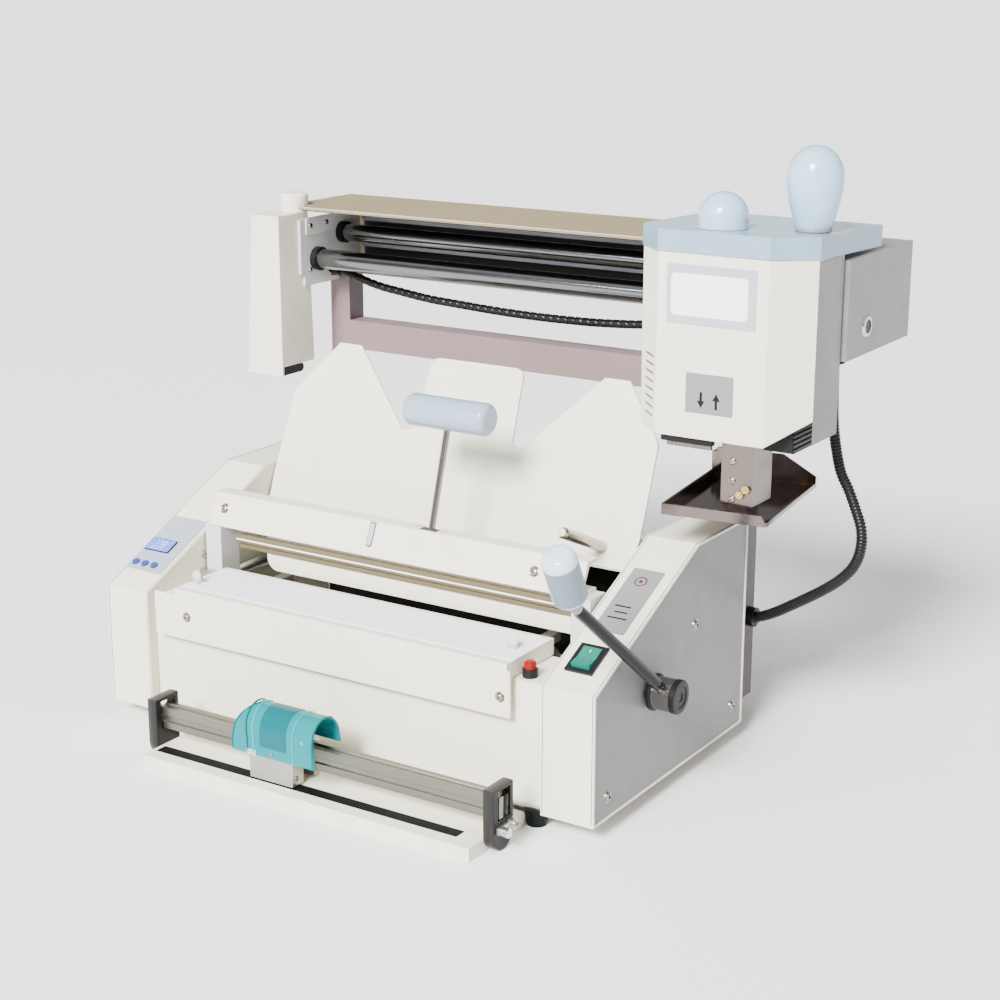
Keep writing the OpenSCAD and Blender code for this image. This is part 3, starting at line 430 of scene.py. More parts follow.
def block(name, low, high, material, body, bevel=0.6, segments=2, at=None):
    """A box with rounded edges between two machine corners, or in a local frame in millimetres."""
    bm = bmesh.new()
    bmesh.ops.create_cube(bm, size=1)
    lo, hi = (Vector(low) * MM, Vector(high) * MM) if at is not None else (P(*low), P(*high))
    size, middle = hi - lo, (hi + lo) / 2
    for v in bm.verts:
        v.co = Vector((v.co.x * size.x, v.co.y * size.y, v.co.z * size.z)) + middle
    width = min(bevel * MM, min(size) * 0.45)
    bmesh.ops.bevel(bm, geom=bm.edges[:], offset=width, segments=segments, profile=0.5, affect="EDGES")
    return finish_mesh(name, bm, material, body, at)


def lathe(name, profile, material, body, at, segments=48, angle=35):
    """Revolves (radius, height) points in millimetres about local z. Radius 0 closes an end."""
    bm = bmesh.new()
    skin(bm, [ring(bm, r, z, segments if r else 1) for r, z in profile])
    return finish_mesh(name, bm, material, body, at, angle)


def rounded(points, radius, steps=4):
    """Rounds the corners of a closed 2D outline, in millimetres, by one radius or one for each corner."""
    out = []
    n = len(points)
    for i in range(n):
        corner, before, after = (Vector(points[j % n]) for j in (i, i - 1, i + 1))
        back, on = before - corner, after - corner
        r = radius[i] if isinstance(radius, list) else radius
        cut = min(r / math.tan(back.angle(on) / 2), back.length * 0.49, on.length * 0.49)
        start, end = corner + back.normalized() * cut, corner + on.normalized() * cut
        for k in range(steps + 1):
            t = k / steps
            out.append(tuple((1 - t) ** 2 * start + 2 * t * (1 - t) * corner + t ** 2 * end))
    return out


def rect(x0, y0, x1, y1, r):
    return rounded([(x0, y0), (x1, y0), (x1, y1), (x0, y1)], r)


def plate(name, outline, thick, material, body, at, bevel=0.25, base=0.0):
    """A flat plate from a 2D outline in millimetres, its top edge bevelled, standing on local z = base."""
    bm = bmesh.new()
    n = len(outline)
    middle = sum((Vector(p) for p in outline), Vector((0, 0))) / n
    inset = []
    for i in range(n):
        before, p, after = (Vector(outline[j % n]) for j in (i - 1, i, i + 1))
        along = (after - before).normalized()
        inward = Vector((-along.y, along.x))
        inset.append(p + inward * (-bevel if inward.dot(middle - p) < 0 else bevel))
    levels = [(outline, base), (outline, base + thick - bevel), (inset, base + thick)]
    rings = [[bm.verts.new((x * MM, y * MM, z * MM)) for x, y in points] for points, z in levels]
    skin(bm, rings)
    bm.faces.new(rings[-1])
    bm.faces.new(list(reversed(rings[0])))
    return finish_mesh(name, bm, material, body, at, 30)


def smooth_path(points, step):
    """A Catmull-Rom curve through machine points, resampled about every step millimetres, and its length."""
    pts = [Vector(p) for p in points]
    pts = [pts[0] * 2 - pts[1]] + pts + [pts[-1] * 2 - pts[-2]]
    parts = 24
    dense = []
    for p0, p1, p2, p3 in zip(pts, pts[1:], pts[2:], pts[3:]):
        for k in range(parts):
            t = k / parts
            dense.append(0.5 * ((2 * p1) + (p2 - p0) * t + (2 * p0 - 5 * p1 + 4 * p2 - p3) * t * t
                                + (3 * p1 - p0 - 3 * p2 + p3) * t ** 3))
    dense.append(pts[-2])
    total = sum((b - a).length for a, b in zip(dense, dense[1:]))
    count = max(2, round(total / step))
    out, spacing, run = [dense[0]], total / count, 0.0
    for a, b in zip(dense, dense[1:]):
        piece = (b - a).length
        while run + piece >= spacing * len(out) - 1e-9 and len(out) <= count:
            out.append(a.lerp(b, (spacing * len(out) - run) / piece if piece else 0))
        run += piece
    out[-1] = dense[-1]
    return out, total


def tube(name, path, radius, material, body, sides=20, angle=60):
    """Sweeps a section along machine points. radius(i, s, a) gives its size in millimetres at point i,
    s millimetres along, at angle a round the section."""
    bm = bmesh.new()
    n = len(path)
    first = (path[1] - path[0]).normalized()
    u = first.cross(Vector((0, 0, 1)))
    u = u.normalized() if u.length > 0.1 else first.cross(Vector((0, 1, 0))).normalized()
    rings, s = [], 0.0
    for i in range(n):
        t = (path[min(i + 1, n - 1)] - path[max(i - 1, 0)]).normalized()
        u = (u - t * u.dot(t)).normalized()
        v = t.cross(u)
        if i:
            s += (path[i] - path[i - 1]).length
        section = []
        for k in range(sides):
            a = 2 * math.pi * k / sides
            r = radius(i, s, a)
            section.append(bm.verts.new(P(*(path[i] + u * (r * math.cos(a)) + v * (r * math.sin(a))))))
        rings.append(section)
    skin(bm, rings)
    bm.faces.new(rings[0])
    bm.faces.new(rings[-1])
    return finish_mesh(name, bm, material, body, None, angle)


def even(radius):
    """A radius for tube() that is the same everywhere."""
    return lambda i, s, a: radius


# ---------- cords ----------
# The routes are those of the CAD's power_conduit and trailing_cable
conduit_points = [(326, 270, 350), (325, 274, 320), (325, 279, 290), (330, 284, 256),
                  (338, 286, 238), (345, 287, 221), (350, 288, 206), (351, 289, 192), (348, 291, 178),
                  (341, 294, 165), (329, 298, 152), (313, 303, 139), (296, 308, 127), (278, 313, 115),
                  (261, 318, 104), (248, 321, 97), (240, 321, 94)]
RIDGE_PITCH = 3.0


def corrugated(i, s, a):
    """Flat-topped ridges, one every pitch along the conduit."""
    return 4.55 + 0.42 * math.tanh(2.2 * math.cos(2 * math.pi * s / RIDGE_PITCH))


path, length = smooth_path(conduit_points, 0.62)
conduit = tube("corrugated_conduit", path, corrugated, CABLE, "root", 18)
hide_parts("power_conduit")
P(*conduit_points[0])
[P(*p) for p in path]

trail_points = [(-211, 300, 378), (-200, 300, 374), (-185, 300, 370), (-163, 300, 365),
                (-140, 300, 362), (-105, 300, 358), (-70, 300, 356), (-30, 300, 354), (10, 300, 353),
                (45, 300, 353), (85, 300, 354), (128, 300, 357), (160, 300, 362), (183, 300, 368),
                (200, 300, 375), (210, 300, 380), (217, 300, 382)]
WRAP_PITCH, WRAP_RADIUS, WIRE_RADIUS = 8.0, 3.95, 3.2


def wrapped(i, s, a):
    """A strip wound round the wires with a gap between its turns."""
    turn = (s / WRAP_PITCH - a / (2 * math.pi)) % 1.0
    return WRAP_RADIUS if 0.1 < turn < 0.9 else WIRE_RADIUS


path, length = smooth_path(trail_points, 0.9)
trail = tube("spiral_wrapped_cable", path, wrapped, CABLE, "root", 20, angle=40)
# The cable hangs from two bodies, so it leaves the one that tube() put it on
trail.parent = None
del trail["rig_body"]
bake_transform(trail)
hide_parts("trailing_cable")
P(*trail_points[0])
[P(*p) for p in path]

# ---------- screws ----------


def screw(name, at, body, r, h):
    """Pan head with a cross recess, standing on local z = 0."""
    bm = bmesh.new()
    sides = 24
    profile = [(r * 0.98, 0), (r, h * 0.25), (r * 0.93, h * 0.62), (r * 0.78, h * 0.88), (r * 0.62, h)]
    rings = [ring(bm, q, z, sides, unit=1) for q, z in profile]
    skin(bm, rings)
    w, end = r * 0.13, r * 0.5
    cross = [(end, -w), (end, w), (w, w), (w, end), (-w, end), (-w, w),
             (-end, w), (-end, -w), (-w, -w), (-w, -end), (w, -end), (w, -w)]
    taper, depth = 0.72, r * 0.38
    top = [bm.verts.new((x, y, h)) for x, y in cross]
    deep = [bm.verts.new((x * taper, y * taper, h - depth)) for x, y in cross]
    rim_edges = [bm.edges.get((rings[-1][k], rings[-1][(k + 1) % sides])) for k in range(sides)]
    cross_edges = [bm.edges.new((top[k], top[(k + 1) % len(top)])) for k in range(len(top))]
    bmesh.ops.bridge_loops(bm, edges=rim_edges + cross_edges)
    skin(bm, [top, deep])
    bm.faces.new(deep)
    bm.faces.new(rings[0])
    # Scaled only now, because bridge_loops joins loops of a few millimetres differently
    for v in bm.verts:
        v.co = v.co / 1000
    return finish_mesh(name, bm, SCREW, body, at, 40)


def countersunk(name, at, body, r):
    """A screw in a shallow dished washer, as on the side covers and the jaw."""
    lathe(name + "_cup", [(0, 0.2), (r * 1.0, 0.2), (r * 1.25, 0.7), (r * 1.38, 0.55), (r * 1.42, 0)],
          SCREW, body, at, 32)
    screw(name, at @ Matrix.Translation((0, 0, 0.3 * MM)), body, r, 1.9)


# Each screw's recess is turned by its own angle, as if tightened by hand
for side, x, out in (("right", SIDE_FACE, RIGHT), ("left", -SIDE_FACE, LEFT)):
    for i, (y, z) in enumerate([(169, 135), (244, 37), (23.5, 34)]):
        countersunk(f"side_screw_{side}_{i}", place(x, y, z, out) @ rot("Z", 20 + 35 * i), "root", 3.9)
for i, (x, up) in enumerate([(-185.5, 17), (148.5, 15)]):
    countersunk(f"jaw_screw_{i}", on_jaw(x, up) @ rot("Z", 15 + 30 * i), "jaw", 3.4)
for i, (x, z) in enumerate([(-161, 112.5), (168.7, 108)]):
    countersunk(f"table_screw_{i}", place(x, 0, z, FRONT) @ rot("Z", 40 * i), "table", 3.2)

# ---------- labels on the head and the right housing ----------
# Outlines on the head's front are in machine X and Z
head_front = place(0, HEAD_FRONT, 0, FRONT)
for name, outline, thick, material in (
        ("head_label_plate", rect(235, 395.5, 313.4, 443, 0.8), 0.7, LILAC),
        ("head_label_window", rect(239, 402, 306.5, 436, 4.5), 1.1, WHITE),
        ("head_arrow_plate", rect(254, 324.5, 296, 356.8, 1.2), 0.7, LABEL)):
    plate(name, outline, thick, material, "head", head_front)
ARROW = [(-1.1, -6.5), (1.1, -6.5), (1.1, 0.6), (3.3, 0.6), (0, 6.5), (-3.3, 0.6), (-1.1, 0.6)]
ARROW_Z = 335.5
for i, (x, up) in enumerate([(268, -1), (281.5, 1)]):
    arrow = [(x + a, ARROW_Z + up * b) for a, b in ARROW]
    plate(f"head_arrow_{i}", arrow, 0.9, BLACK, "head", head_front, 0.05)

right_label = on_slope(230.5, 63)
LABEL_THICK = 0.6
plate("right_slope_label", rect(-14.5, 0, 14.5, 77, 1.5), LABEL_THICK, LABEL, "root", right_label)

# ---------- display ----------
# The bezel stands on the display plate's raised block, and the glass starts inside the bezel
display = on_slope(-237, 53.5)
plate("display_bezel", rect(-14.4, -8.4, 14.4, 8.4, 1.2), 0.9, BLACK, "root", display, 0.3,
      base=1.4)
plate("display_glass", rect(-13.5, -7.6, 13.5, 7.6, 0.8), 0.5, LCD, "root", display, 0.1,
      base=2.0)
# Middle of each segment of a digit, and whether it lies flat
SEGMENTS = {"a": (0, 4, True), "b": (2, 2, False), "c": (2, -2, False), "d": (0, -4, True),
            "e": (-2, -2, False), "f": (-2, 2, False), "g": (0, 0, True)}
SEGMENT_L, SEGMENT_W = 1.55, 0.38      # half a segment's length and width
DIGIT_LOW, DIGIT_HIGH = 2.51, 2.66


def digit(name, code, x, y, size):
    """A seven-segment digit on the display's glass, made of the segments in code."""
    bm = bmesh.new()
    for key in code:
        cx, cy, flat = SEGMENTS[key]
        outline = [(-SEGMENT_L, 0), (-SEGMENT_L + SEGMENT_W, SEGMENT_W), (SEGMENT_L - SEGMENT_W, SEGMENT_W),
                   (SEGMENT_L, 0), (SEGMENT_L - SEGMENT_W, -SEGMENT_W), (-SEGMENT_L + SEGMENT_W, -SEGMENT_W)]
        if not flat:
            outline = [(-b, a) for a, b in outline]
        low, top = ([bm.verts.new(((x + (cx + a) * size) * MM, (y + (cy + b) * size) * MM, z * MM))
                     for a, b in outline] for z in (DIGIT_LOW, DIGIT_HIGH))
        bm.faces.new(top)
        bm.faces.new(list(reversed(low)))
        skin(bm, [low, top])
    return finish_mesh(name, bm, DIGIT, "root", display)


for i, code in enumerate(["bc", "abc", "abcdef"]):
    digit(f"display_digit_{i}", code, -6.0 + i * 4.9, 2.0, 0.72)
for i in range(4):
    digit(f"display_small_digit_{i}", "abcdef", -7.0 + i * 3.6, -4.1, 0.38)

# ---------- cover table ----------
TABLE_TOP, PAD_THICK = 137, 0.8
CLIP_LOW, CLIP_HIGH = 137.9, 140
plate("register_pad", rect(-174, 8, 175.5, 66, 1.0), PAD_THICK, PAD, "table", place(0, 0, TABLE_TOP), 0.2)


def clip(name, x, y):
    """Small clear register clip: a foot with an upright tab."""
    block(name + "_foot", (x - 4, y - 7, CLIP_LOW), (x + 4, y + 5, CLIP_HIGH), CLEAR, "table", 0.8, 3)
    plate(name + "_tab", rounded([(-5, 0), (4, 0), (4.5, 7), (0, 10.5), (-5, 7)], 1.8), 1.6, CLEAR, "table",
          place(x, y - 2, CLIP_HIGH - 0.4, FRONT), 0.4)
    lathe(name + "_pin", [(0, 0), (1.5, 0), (1.5, 2.2), (1.1, 2.7), (0, 2.7)], SCREW, "table",
          place(x, y + 2, CLIP_HIGH - 0.1), 20)


clip("register_clip_left", -166, 24)
clip("register_clip_right", 160, 36)

# ---------- grips and knobs ----------
LEVER_FOOT, LEVER_TURN, LEVER_LENGTH = (35, 98, 197), -16.5, 104
GRIP_RADIUS, GRIP_HALF, GRIP_ROUND = 14.4, 42.4, 5.9


def grip_end(side, steps=6):
    """Rounded corner of the T grip's profile at one end, from its flank in to its end face."""
    points = []
    for a in (math.radians(90) * k / steps for k in range(steps + 1)):
        points.append((GRIP_RADIUS - GRIP_ROUND + GRIP_ROUND * math.cos(a),
                       side * (GRIP_HALF - GRIP_ROUND + GRIP_ROUND * math.sin(a))))
    return points


tee = place(*LEVER_FOOT, rot("X", LEVER_TURN)) @ Matrix.Translation((0, 0, LEVER_LENGTH * MM)) @ rot("Y", 90)
profile = [(0, -GRIP_HALF)] + grip_end(-1)[::-1] + grip_end(1) + [(0, GRIP_HALF)]
tee_grip = lathe("tee_grip", profile, GRIP, "lever", tee, 64)
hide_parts("clamp_grip")
for i, end in enumerate((tee @ rot("X", 180), tee)):
    lathe(f"tee_grip_plug_{i}", [(0, 42.6), (4.2, 42.6), (4.9, 42.1), (4.9, 41.5)], GRIP, "lever", end, 32)

crank_tip = place(*CRANK_TIP, rot("X", 27))
profile = [(0, 5.8), (8.5, 5.8), (11.6, 6.6), (13.0, 8.6), (13.3, 11), (13.35, 43.5), (12.9, 47), (11.6, 50),
           (9.4, 51.9), (6.4, 52.6), (0, 52.75)]
crank_knob = lathe("crank_knob", profile, WHITE_GRIP, "crank", crank_tip, 64, 60)
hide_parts("crank_grip")
# A band of painted shade round the knob's side, under its white top
lathe("crank_knob_shade_band",
      [(13.3, 9.5), (13.47, 10.2), (13.47, 41.5), (13.3, 42.5), (13.0, 42.5), (13.0, 9.5)],
      GRIP_SHADE, "crank", crank_tip, 64)
lathe("crank_knob_ferrule", [(4.6, 3.0), (7.4, 3.4), (7.4, 5.8), (4.6, 5.9)], BLACK, "crank", crank_tip, 40)

egg = place(331, 204, 468.6)
EGG_WAIST, EGG_RADIUS = 13.6, 22.6     # radii at the foot and where it is widest
EGG_WIDEST, EGG_DOME = 42, 24.3        # height of the widest place, and of the dome above it
EGG_STEPS = 14
profile = [(0, 0.2), (12.6, 0.2), (13.4, 0.9)]
turns = [math.radians(90 * k / EGG_STEPS) for k in range(1, EGG_STEPS + 1)]
for k, a in enumerate(turns, 1):
    profile.append((EGG_WAIST + (EGG_RADIUS - EGG_WAIST) * math.sin(a), EGG_WIDEST * k / EGG_STEPS))
for a in turns[:-1]:
    profile.append((EGG_RADIUS * math.cos(a), EGG_WIDEST + EGG_DOME * math.sin(a)))
profile.append((0, EGG_WIDEST + EGG_DOME))
egg_knob = lathe("egg_knob", profile, BLUE, "handle", egg, 72, 60)
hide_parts("egg_handle")
lathe("egg_foot_ring", [(12.6, -0.6), (14.4, -0.6), (14.8, 0.4), (14.2, 1.5), (13.2, 1.8)], LABEL, "handle",
      egg, 64)

# ---------- crank hub and sleeve ----------
hub = place(258, *CRANK_AXIS, RIGHT)
lathe("hub_end_face",
      [(14.0, 20.5), (14.45, 20.8), (14.45, 24.6), (13.6, 25.4), (9.5, 25.6), (9.0, 24.9), (4.0, 24.9),
       (3.4, 24.2), (0, 24.2)],
      BLACK, "crank", hub, 56)
lathe("hub_collar", [(14.1, 0.4), (15.2, 0.4), (15.6, 1.0), (15.6, 3.4), (15.0, 4.0), (14.1, 4.0)], BLACK,
      "crank", hub, 56)

SLEEVE_STEPS = 24
SLEEVE_START, SLEEVE_END = 24, 7      # gaps left at the hub and at the grip


def sleeve_radius(i, s, a):
    """Full along the sleeve, a little less at its two ends."""
    return 4.95 if 0 < i < SLEEVE_STEPS else 4.6


axis, tip = Vector((CRANK_TIP[0], *CRANK_AXIS)), Vector(CRANK_TIP)
arm = (tip - axis).normalized()
step = ((tip - axis).length - SLEEVE_START - SLEEVE_END) / SLEEVE_STEPS
sleeve = [axis + arm * (SLEEVE_START + k * step) for k in range(SLEEVE_STEPS + 1)]
tube("crank_arm_sleeve", sleeve, sleeve_radius, GLOSS_BLACK, "crank", 24)

# ---------- gantry ----------
# Black sheets of painted shade inside the beam's channel, with two pale bars along its back
CHANNEL_LEFT, CHANNEL_RIGHT, CHANNEL_BACK = -220, 316, 351
for i, (low, high) in enumerate([(376.2, 393.8), (405.2, 419.8), (431.2, 440.6)]):
    block(f"channel_shade_sheet_{i}", (CHANNEL_LEFT, CHANNEL_BACK + 0.2, low),
          (CHANNEL_RIGHT, CHANNEL_BACK + 1.8, high), SHADE_BLACK, "root", 0.3, 1)
for name, y, low, high in (("channel_ceiling", 250.5, 439.9, 440.9), ("channel_floor", 313, 376.1, 376.9)):
    block(name, (CHANNEL_LEFT, y, low), (CHANNEL_RIGHT, CHANNEL_BACK, high), SHADE_BLACK, "root", 0.3, 1)
for i, z in enumerate((420, 394)):
    block(f"channel_bar_{i}", (-217, 346.4, z + 0.2), (314, 347.9, z + 10.8), LILAC, "root", 0.5, 2)
# Painted highlight: a pale strip along the front edge of the beam's top plate
block("beam_front_highlight", (-220.8, 247.5, 443.1), (320, 247.95, 443.9), INNER, "root", 0.2, 1)

END_PLATE = -221
TAB_THICK = 1.4
plate("end_plate_tab", rect(258, 415, 303, 432, 3), TAB_THICK, INNER, "root", place(END_PLATE, 0, 0, RIGHT),
      0.4)
for i, (out, y, z) in enumerate([(TAB_THICK, 264, 424), (TAB_THICK, 289, 425), (0, 264, 381), (0, 296, 374)]):
    screw(f"end_plate_screw_{i}", place(END_PLATE + out, y, z, RIGHT) @ rot("Z", 25 * i), "root", 2.6, 1.6)
port = place(356, 262, 385, RIGHT)
lathe("port_ring", [(5.8, 0), (5.8, 1.7), (7.0, 1.95), (8.4, 1.5), (9.0, 0)], CHROME, "root",
      port, 48)
lathe("port_face", [(0, 2.02), (3.0, 2.02), (3.1, 2.04), (5.6, 2.04), (5.7, 1.6), (5.75, 0.2)], BLACK, "root",
      port, 40)
for i, z in enumerate((438, 368)):
    screw(f"cover_edge_screw_{i}", place(326.5, 223, z, FRONT), "root", 1.8, 0.9)
# Strips of painted shade on the posts' right faces, in the darker tone these faces have in the photo
POST_FACES = (-209, 232)
for i, x in enumerate(POST_FACES):
    block(f"post_shade_{i}", (x - 0.3, 310.6, 16), (x + 0.35, 332.4, 372), POST_SHADE, "root", 0.2, 1)

# ---------- jaw and inside the body ----------
# A black sheet of painted shade inside the rear panel, so that its vents show dark
block("inner_shade_baffle", (-205, 261.2, 42), (205, 262.6, 165), SHADE_BLACK, "root", 0.4, 1)
screw("inner_wall_screw", place(-207, 77, 143, RIGHT), "root", 3.6, 1.8)
LEDGE_LEFT, LEDGE_RIGHT = -172, 184
# The ledge under the jaw and the strip below it carry painted shade from the jaw's overhang
block("jaw_ledge", (LEDGE_LEFT, 83.5, 158.6), (LEDGE_RIGHT, 87.8, 167.2), LEDGE_SHADE, "jaw", 0.8, 2)
block("jaw_ledge_lip", (LEDGE_LEFT, 82.4, 161.6), (LEDGE_RIGHT, 83.6, 163.0), WHITE, "jaw", 0.4, 2)
block("jaw_ledge_shadow", (LEDGE_LEFT + 1, 85.6, 153.2), (LEDGE_RIGHT - 1, 87.9, 157.6), LEDGE_SHADE, "jaw", 0.4, 1)
jaw_slot = on_jaw(-20, 0)
plate("jaw_slot", rounded([(-3.2, 8.0), (3.2, 8.0), (3.2, 30.2), (-3.2, 30.2)], [3, 3, 0.4, 0.4]), 0.35,
      BRACKET, "jaw", jaw_slot, 0.1)
plate("jaw_slot_slide", rounded([(-2.2, 9.0), (2.6, 9.0), (2.6, 29.4), (-2.2, 29.4)], [2.2, 2.2, 1, 1]), 1.5,
      LILAC, "jaw", jaw_slot, 0.5)

# ---------- rail cutter ----------
block("cutting_strip", (-145.8, -63.5, 11.5), (168.8, -51.5, 11.9), RUBBER, "root", 0.3, 1)
HOOD_Y, HOOD_Z, HOOD_R = -50, 58, 18.7    # axis and outer radius of the hood's arch
HOOD_FRONT = HOOD_Y - HOOD_R


def hood_line(x, z_front, end, r, straight=6, steps=22):
    """Points up the hood's front and over its arch to an angle, at a given radius."""
    front = [Vector((x, HOOD_Y - r, z_front + (HOOD_Z - z_front) * k / straight)) for k in range(straight)]
    angles = [math.radians(end) * k / steps for k in range(steps + 1)]
    return front + [Vector((x, HOOD_Y - r * math.cos(a), HOOD_Z + r * math.sin(a))) for a in angles]


def hood_strip(name, x0, x1, z_front, end, height, material, skew=0.0, sunk=0.3):
    """A low rib or raised field on the hood's outer face, from x0 to x1, its foot sunk into the hood and
    its sides sloping. skew carries it along X as it goes over the arch."""
    bm = bmesh.new()
    inset = min(0.35, (x1 - x0) / 4)
    foot, top = HOOD_R - sunk, HOOD_R + height
    lines = [hood_line(x, z_front, end, r)
             for x, r in ((x0, foot), (x0 + inset, top), (x1 - inset, top), (x1, foot))]
    count = len(lines[0])
    rows = [[bm.verts.new(P(*(line[k] + Vector((skew * k / count, 0, 0))))) for line in lines]
            for k in range(count)]
    skin(bm, rows)
    bm.faces.new(rows[0])
    bm.faces.new(rows[-1])
    return finish_mesh(name, bm, material, "cutter", None, 40)


# Ribs, field and rims in darker and lighter teal: painted shade and painted highlight on the hood
hood_strip("hood_rib_0", -37.5, -36.0, 38.5, 150, 0.9, TEAL_SHADE, -5)
hood_strip("hood_rib_1", -31.0, -29.5, 38.5, 150, 0.9, TEAL_HIGHLIGHT, -4)
hood_strip("hood_field", -24, 4, 46, 118, 0.45, TEAL_SHADE)
hood_strip("hood_edge_line", 10.0, 11.0, 37.6, 150, 0.6, TEAL_HIGHLIGHT)
hood_strip("hood_right_rim", 30.2, 31.6, 37.6, 120, 0.6, TEAL_SHADE)

# The hood's left end is cut along a quarter of an ellipse, laid onto the arch
RIM_MIDDLE, RIM_REACH, RIM_STEPS = (-33, 39), (20.6, 38), 30
rim = []
for k in range(RIM_STEPS + 1):
    a = math.radians(180 - 90 * k / RIM_STEPS)
    x, z = RIM_MIDDLE[0] + RIM_REACH[0] * math.cos(a), RIM_MIDDLE[1] + RIM_REACH[1] * math.sin(a)
    depth = math.sqrt(max(0.0, HOOD_R ** 2 - (z - HOOD_Z) ** 2)) if z > HOOD_Z else HOOD_R
    rim.append(Vector((x, HOOD_Y - depth, min(z, HOOD_Z + HOOD_R))))
tube("hood_left_rim", rim, even(0.75), TEAL_SHADE, "cutter", 10)
block("hood_clip", (-38, -69.6, 36.4), (-28, -68.3, 41.2), CLEAR, "cutter", 0.5, 2)
lathe("hood_dimple", [(0, 0.9), (1.2, 0.8), (1.9, 0.2), (2.1, -0.2)], TEAL_HIGHLIGHT, "cutter",
      place(20.5, HOOD_FRONT + 0.1, HOOD_Z, FRONT), 24)
screw("hood_pin", place(-12, HOOD_FRONT, 41, FRONT), "cutter", 1.7, 1.0)
screw("saddle_screw", place(5, -57.5, 19.5, RIGHT), "cutter", 2.3, 1.3)
block("saddle_edge", (4.0, -63.4, 13.4), (5.4, -62.2, 36.8), CHROME, "cutter", 0.5, 2)

# The rail's end brackets from the side: a round foot under straight sides
BRACKET_MIDDLE, BRACKET_R, BRACKET_TOP = (-42, 15), 14, 54
BRACKET_LEFTS, BRACKET_WIDE = (-160, 189), 10


def band(name, x0, x1, outline, grow, edge=0.5, sink=0.02):
    """A thin strap round an outline given in Y and Z, its edges sloping down to the outline."""
    bm = bmesh.new()
    n = len(outline)
    outer, inner = [], []
    for i in range(n):
        before, p, after = (Vector(outline[j % n]) for j in (i - 1, i, i + 1))
        along = (after - before).normalized()
        outward = Vector((along.y, -along.x))
        outer.append(p + outward * grow)
        inner.append(p + outward * sink)
    loops = [[bm.verts.new(P(x, q.x, q.y)) for q in points]
             for x, points in ((x0, inner), (x0 + edge, outer), (x1 - edge, outer), (x1, inner))]
    skin(bm, loops + loops[:1])
    return finish_mesh(name, bm, BRACKET, "root", None, 50)


bracket = [(BRACKET_MIDDLE[0] - BRACKET_R, BRACKET_TOP)]
for a in (math.radians(degrees) for degrees in range(0, 181, 12)):
    bracket.append((BRACKET_MIDDLE[0] - BRACKET_R * math.cos(a), BRACKET_MIDDLE[1] - BRACKET_R * math.sin(a)))
bracket.append((BRACKET_MIDDLE[0] + BRACKET_R, BRACKET_TOP))
for i, x in enumerate(BRACKET_LEFTS):
    band(f"bracket_band_{i}", x, x + BRACKET_WIDE, bracket, 0.6)
RAIL_END, RAIL_LOW, RAIL_HIGH = 195.2, 27.4, 45.8
block("rail_end_cap", (RAIL_END, -47.6, RAIL_LOW), (198.8, -41.5, RAIL_HIGH), ALU, "rail", 0.5, 2)
block("rail_end_stop", (RAIL_END, -41.3, RAIL_LOW), (199.0, -34.4, RAIL_HIGH), GLOSS_BLACK, "rail", 0.8, 2)
screw("latch_screw", place(204.3, -33, 20, RIGHT), "latch", 3.4, 1.6)
lathe("latch_knob_cap", [(3.9, 0), (4.4, 0.4), (4.4, 1.6), (3.8, 2.2), (0, 2.3)], CHROME, "latch",
      place(207.8, -50, 20, RIGHT), 32)

# ---------- glue head: side and underside ----------
# Painted shade: the panel gives the head's right side the side covers' darker tone, as in the photo
plate("head_side_shade_panel", rect(171, 303.3, 218.7, 449.5, 0.4), 0.35, SHADED_SIDE, "head",
      place(HEAD_RIGHT, 0, 0, RIGHT), 0.1)
block("head_front_strip", (231, 144.5, 297.5), (277, 151, 302.6), BLACK, "head", 0.4, 2)
for i, x in enumerate((242, 262)):
    screw(f"head_strip_screw_{i}", place(x, 146, 296.6, FRONT), "head", 1.9, 1.0)
GUARD_FRONT = 160
for i, z in enumerate((252, 267.5, 284)):
    screw(f"guard_screw_{i}", place(289, GUARD_FRONT, z, FRONT) @ rot("Z", 30 * i), "head", 3.0, 1.5)
for i, (x, z) in enumerate([(302, 262), (296.5, 257)]):
    fitting = place(x, GUARD_FRONT, z, FRONT)
    lathe(f"brass_nut_{i}", [(1.6, 2.6), (3.4, 2.6), (3.9, 2.2), (3.9, 0.4), (3.5, 0), (1.6, 0)], BRASS,
          "head", fitting, 6)
    lathe(f"brass_stud_{i}", [(0, 3.8), (1.3, 3.8), (1.55, 3.4), (1.55, 0)], BRASS, "head", fitting, 20)

# ---------- housing seams, label lines and switch mark ----------
# Dark lines that mark the joints on both sides of each housing
HOUSING_TOP, HOUSING_BACK = 206, 262
seam = [(0, z) for z in (18, 60, 100)] + [(y, round(slope_z(y), 1)) for y in (0, 14, 60, 110, 156, 170)]
seam += [(y, HOUSING_TOP) for y in (190, 230, HOUSING_BACK)]
for i, side in enumerate((-1, 1)):
    for name, x, radius in (("cover_seam", 254.0, 0.32), ("inner_seam", 208.6, 0.26)):
        tube(f"{name}_{i}", [Vector((side * x, y, z)) for y, z in seam], even(radius), BRACKET, "root", 8)
for i, (x0, x1, y) in enumerate([(-9, 9, 16), (-6, 6, 23), (-9, 6, 30)]):
    plate(f"right_label_line_{i}", rect(x0, y, x1, y + 1.5, 0.5), 0.15, BLACK, "root", right_label, 0.03,
          base=LABEL_THICK)
emblem = right_label @ Matrix.Translation((-1 * MM, 62 * MM, 0))
lathe("right_label_ring", [(4.6, 0.6), (4.7, 0.8), (5.4, 0.8), (5.5, 0.6)], BLACK, "root", emblem, 40)
lathe("right_label_dot", [(0, 0.8), (1.7, 0.8), (1.8, 0.6)], RED, "root", emblem, 24)
block("switch_mark_on", (-0.35, 5.0, 4.15), (0.35, 8.2, 4.35), WHITE, "rocker_switch", 0.05, 1,
      on_slope(229.8, 32.5) @ rot("X", -6))

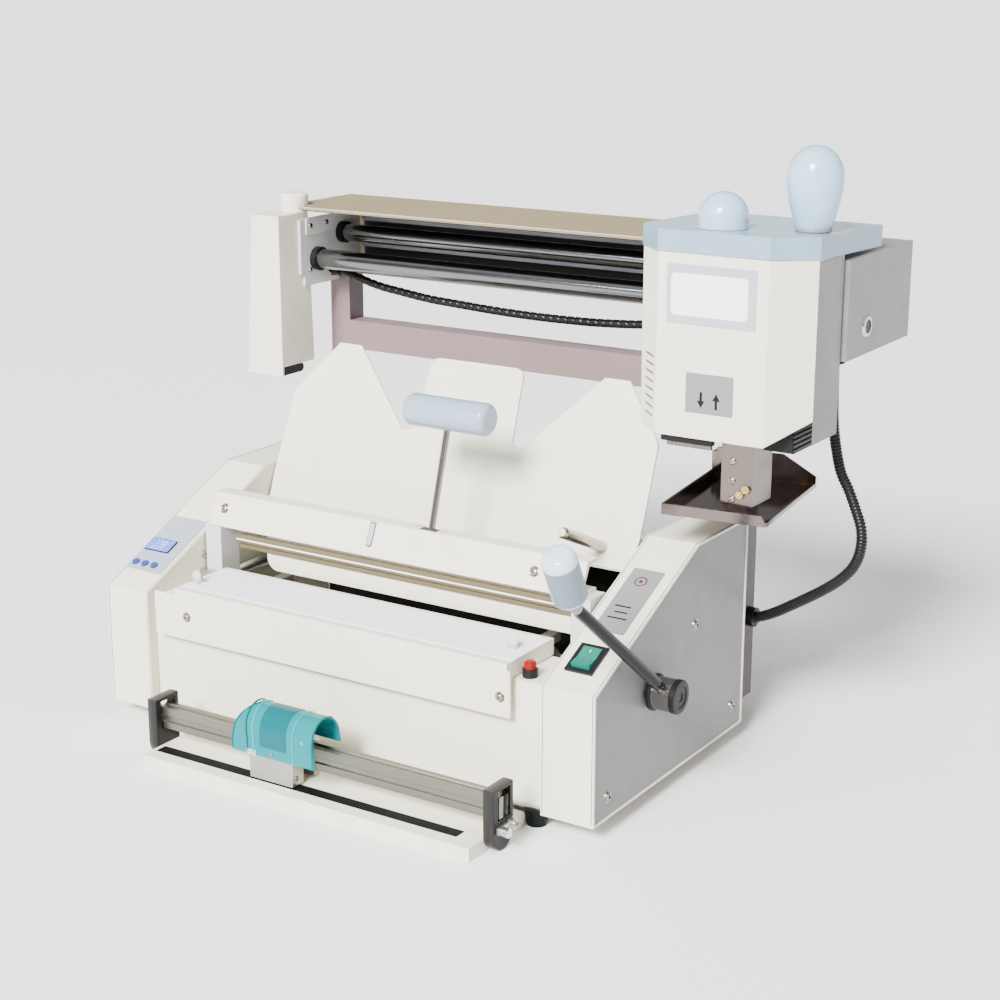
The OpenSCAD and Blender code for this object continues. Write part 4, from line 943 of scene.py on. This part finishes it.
# ---------- floor ----------
FLOOR_REACH = 60                       # metres to each side, so that its edge lies at the horizon
floor_bm = bmesh.new()
bmesh.ops.create_grid(floor_bm, x_segments=8, y_segments=8, size=FLOOR_REACH)
floor_mesh = bpy.data.meshes.new("floor")
floor_bm.to_mesh(floor_mesh)
floor_bm.free()
new_object("floor", floor_mesh)
FLOOR, _, floor_shader = new_material("pale_floor")
floor_shader.inputs["Base Color"].default_value = (0.84, 0.84, 0.84, 1)
floor_shader.inputs["Roughness"].default_value = 0.9
floor_shader.inputs["Specular IOR Level"].default_value = 0.1
floor_mesh.materials.append(FLOOR)

# ---------- studio light ----------
# Bright round the horizon and overhead with a dark zone between, so that polished parts show streaks
SKY = [(0.0, 1.7), (0.05, 1.7), (0.16, 0.4), (0.40, 0.10), (0.62, 0.75), (1.0, 0.9)]
world = bpy.data.worlds.new("studio")
bpy.context.scene.world = world
world.use_nodes = True
wt = world.node_tree
sep = add(wt, "ShaderNodeSeparateXYZ")
wt.links.new(add(wt, "ShaderNodeTexCoord").outputs["Generated"], sep.inputs["Vector"])
sky = ramp(wt, sep.outputs["Z"], [(height, (v, v, v)) for height, v in SKY])
wt.links.new(sky, wt.nodes["Background"].inputs["Color"])
wt.nodes["Background"].inputs["Strength"].default_value = 1.15


def area(name, at, to, width, height, power):
    """A rectangular light at one point of the frame, aimed at another."""
    light = bpy.data.lights.new(name, "AREA")
    light.shape, light.size, light.size_y = "RECTANGLE", width, height
    light.energy = power
    o = new_object(name, light)
    o.location = at
    aim(o, Vector(to) - Vector(at))


sun_data = bpy.data.lights.new("key_sun", "SUN")
sun_data.energy, sun_data.angle = 11, math.radians(20)
aim(new_object("key_sun", sun_data), Vector((-0.07, 0.80, -0.60)))
area("softbox_front", (-0.2, -1.9, 1.25), (0, 0, 0.25), 1.9, 0.12, 26)
area("strip_left", (-2.2, -0.6, 0.7), (0, 0, 0.25), 0.9, 1.4, 6)
area("strip_right", (1.9, -0.9, 0.8), (0.1, 0, 0.3), 0.2, 1.2, 1.5)
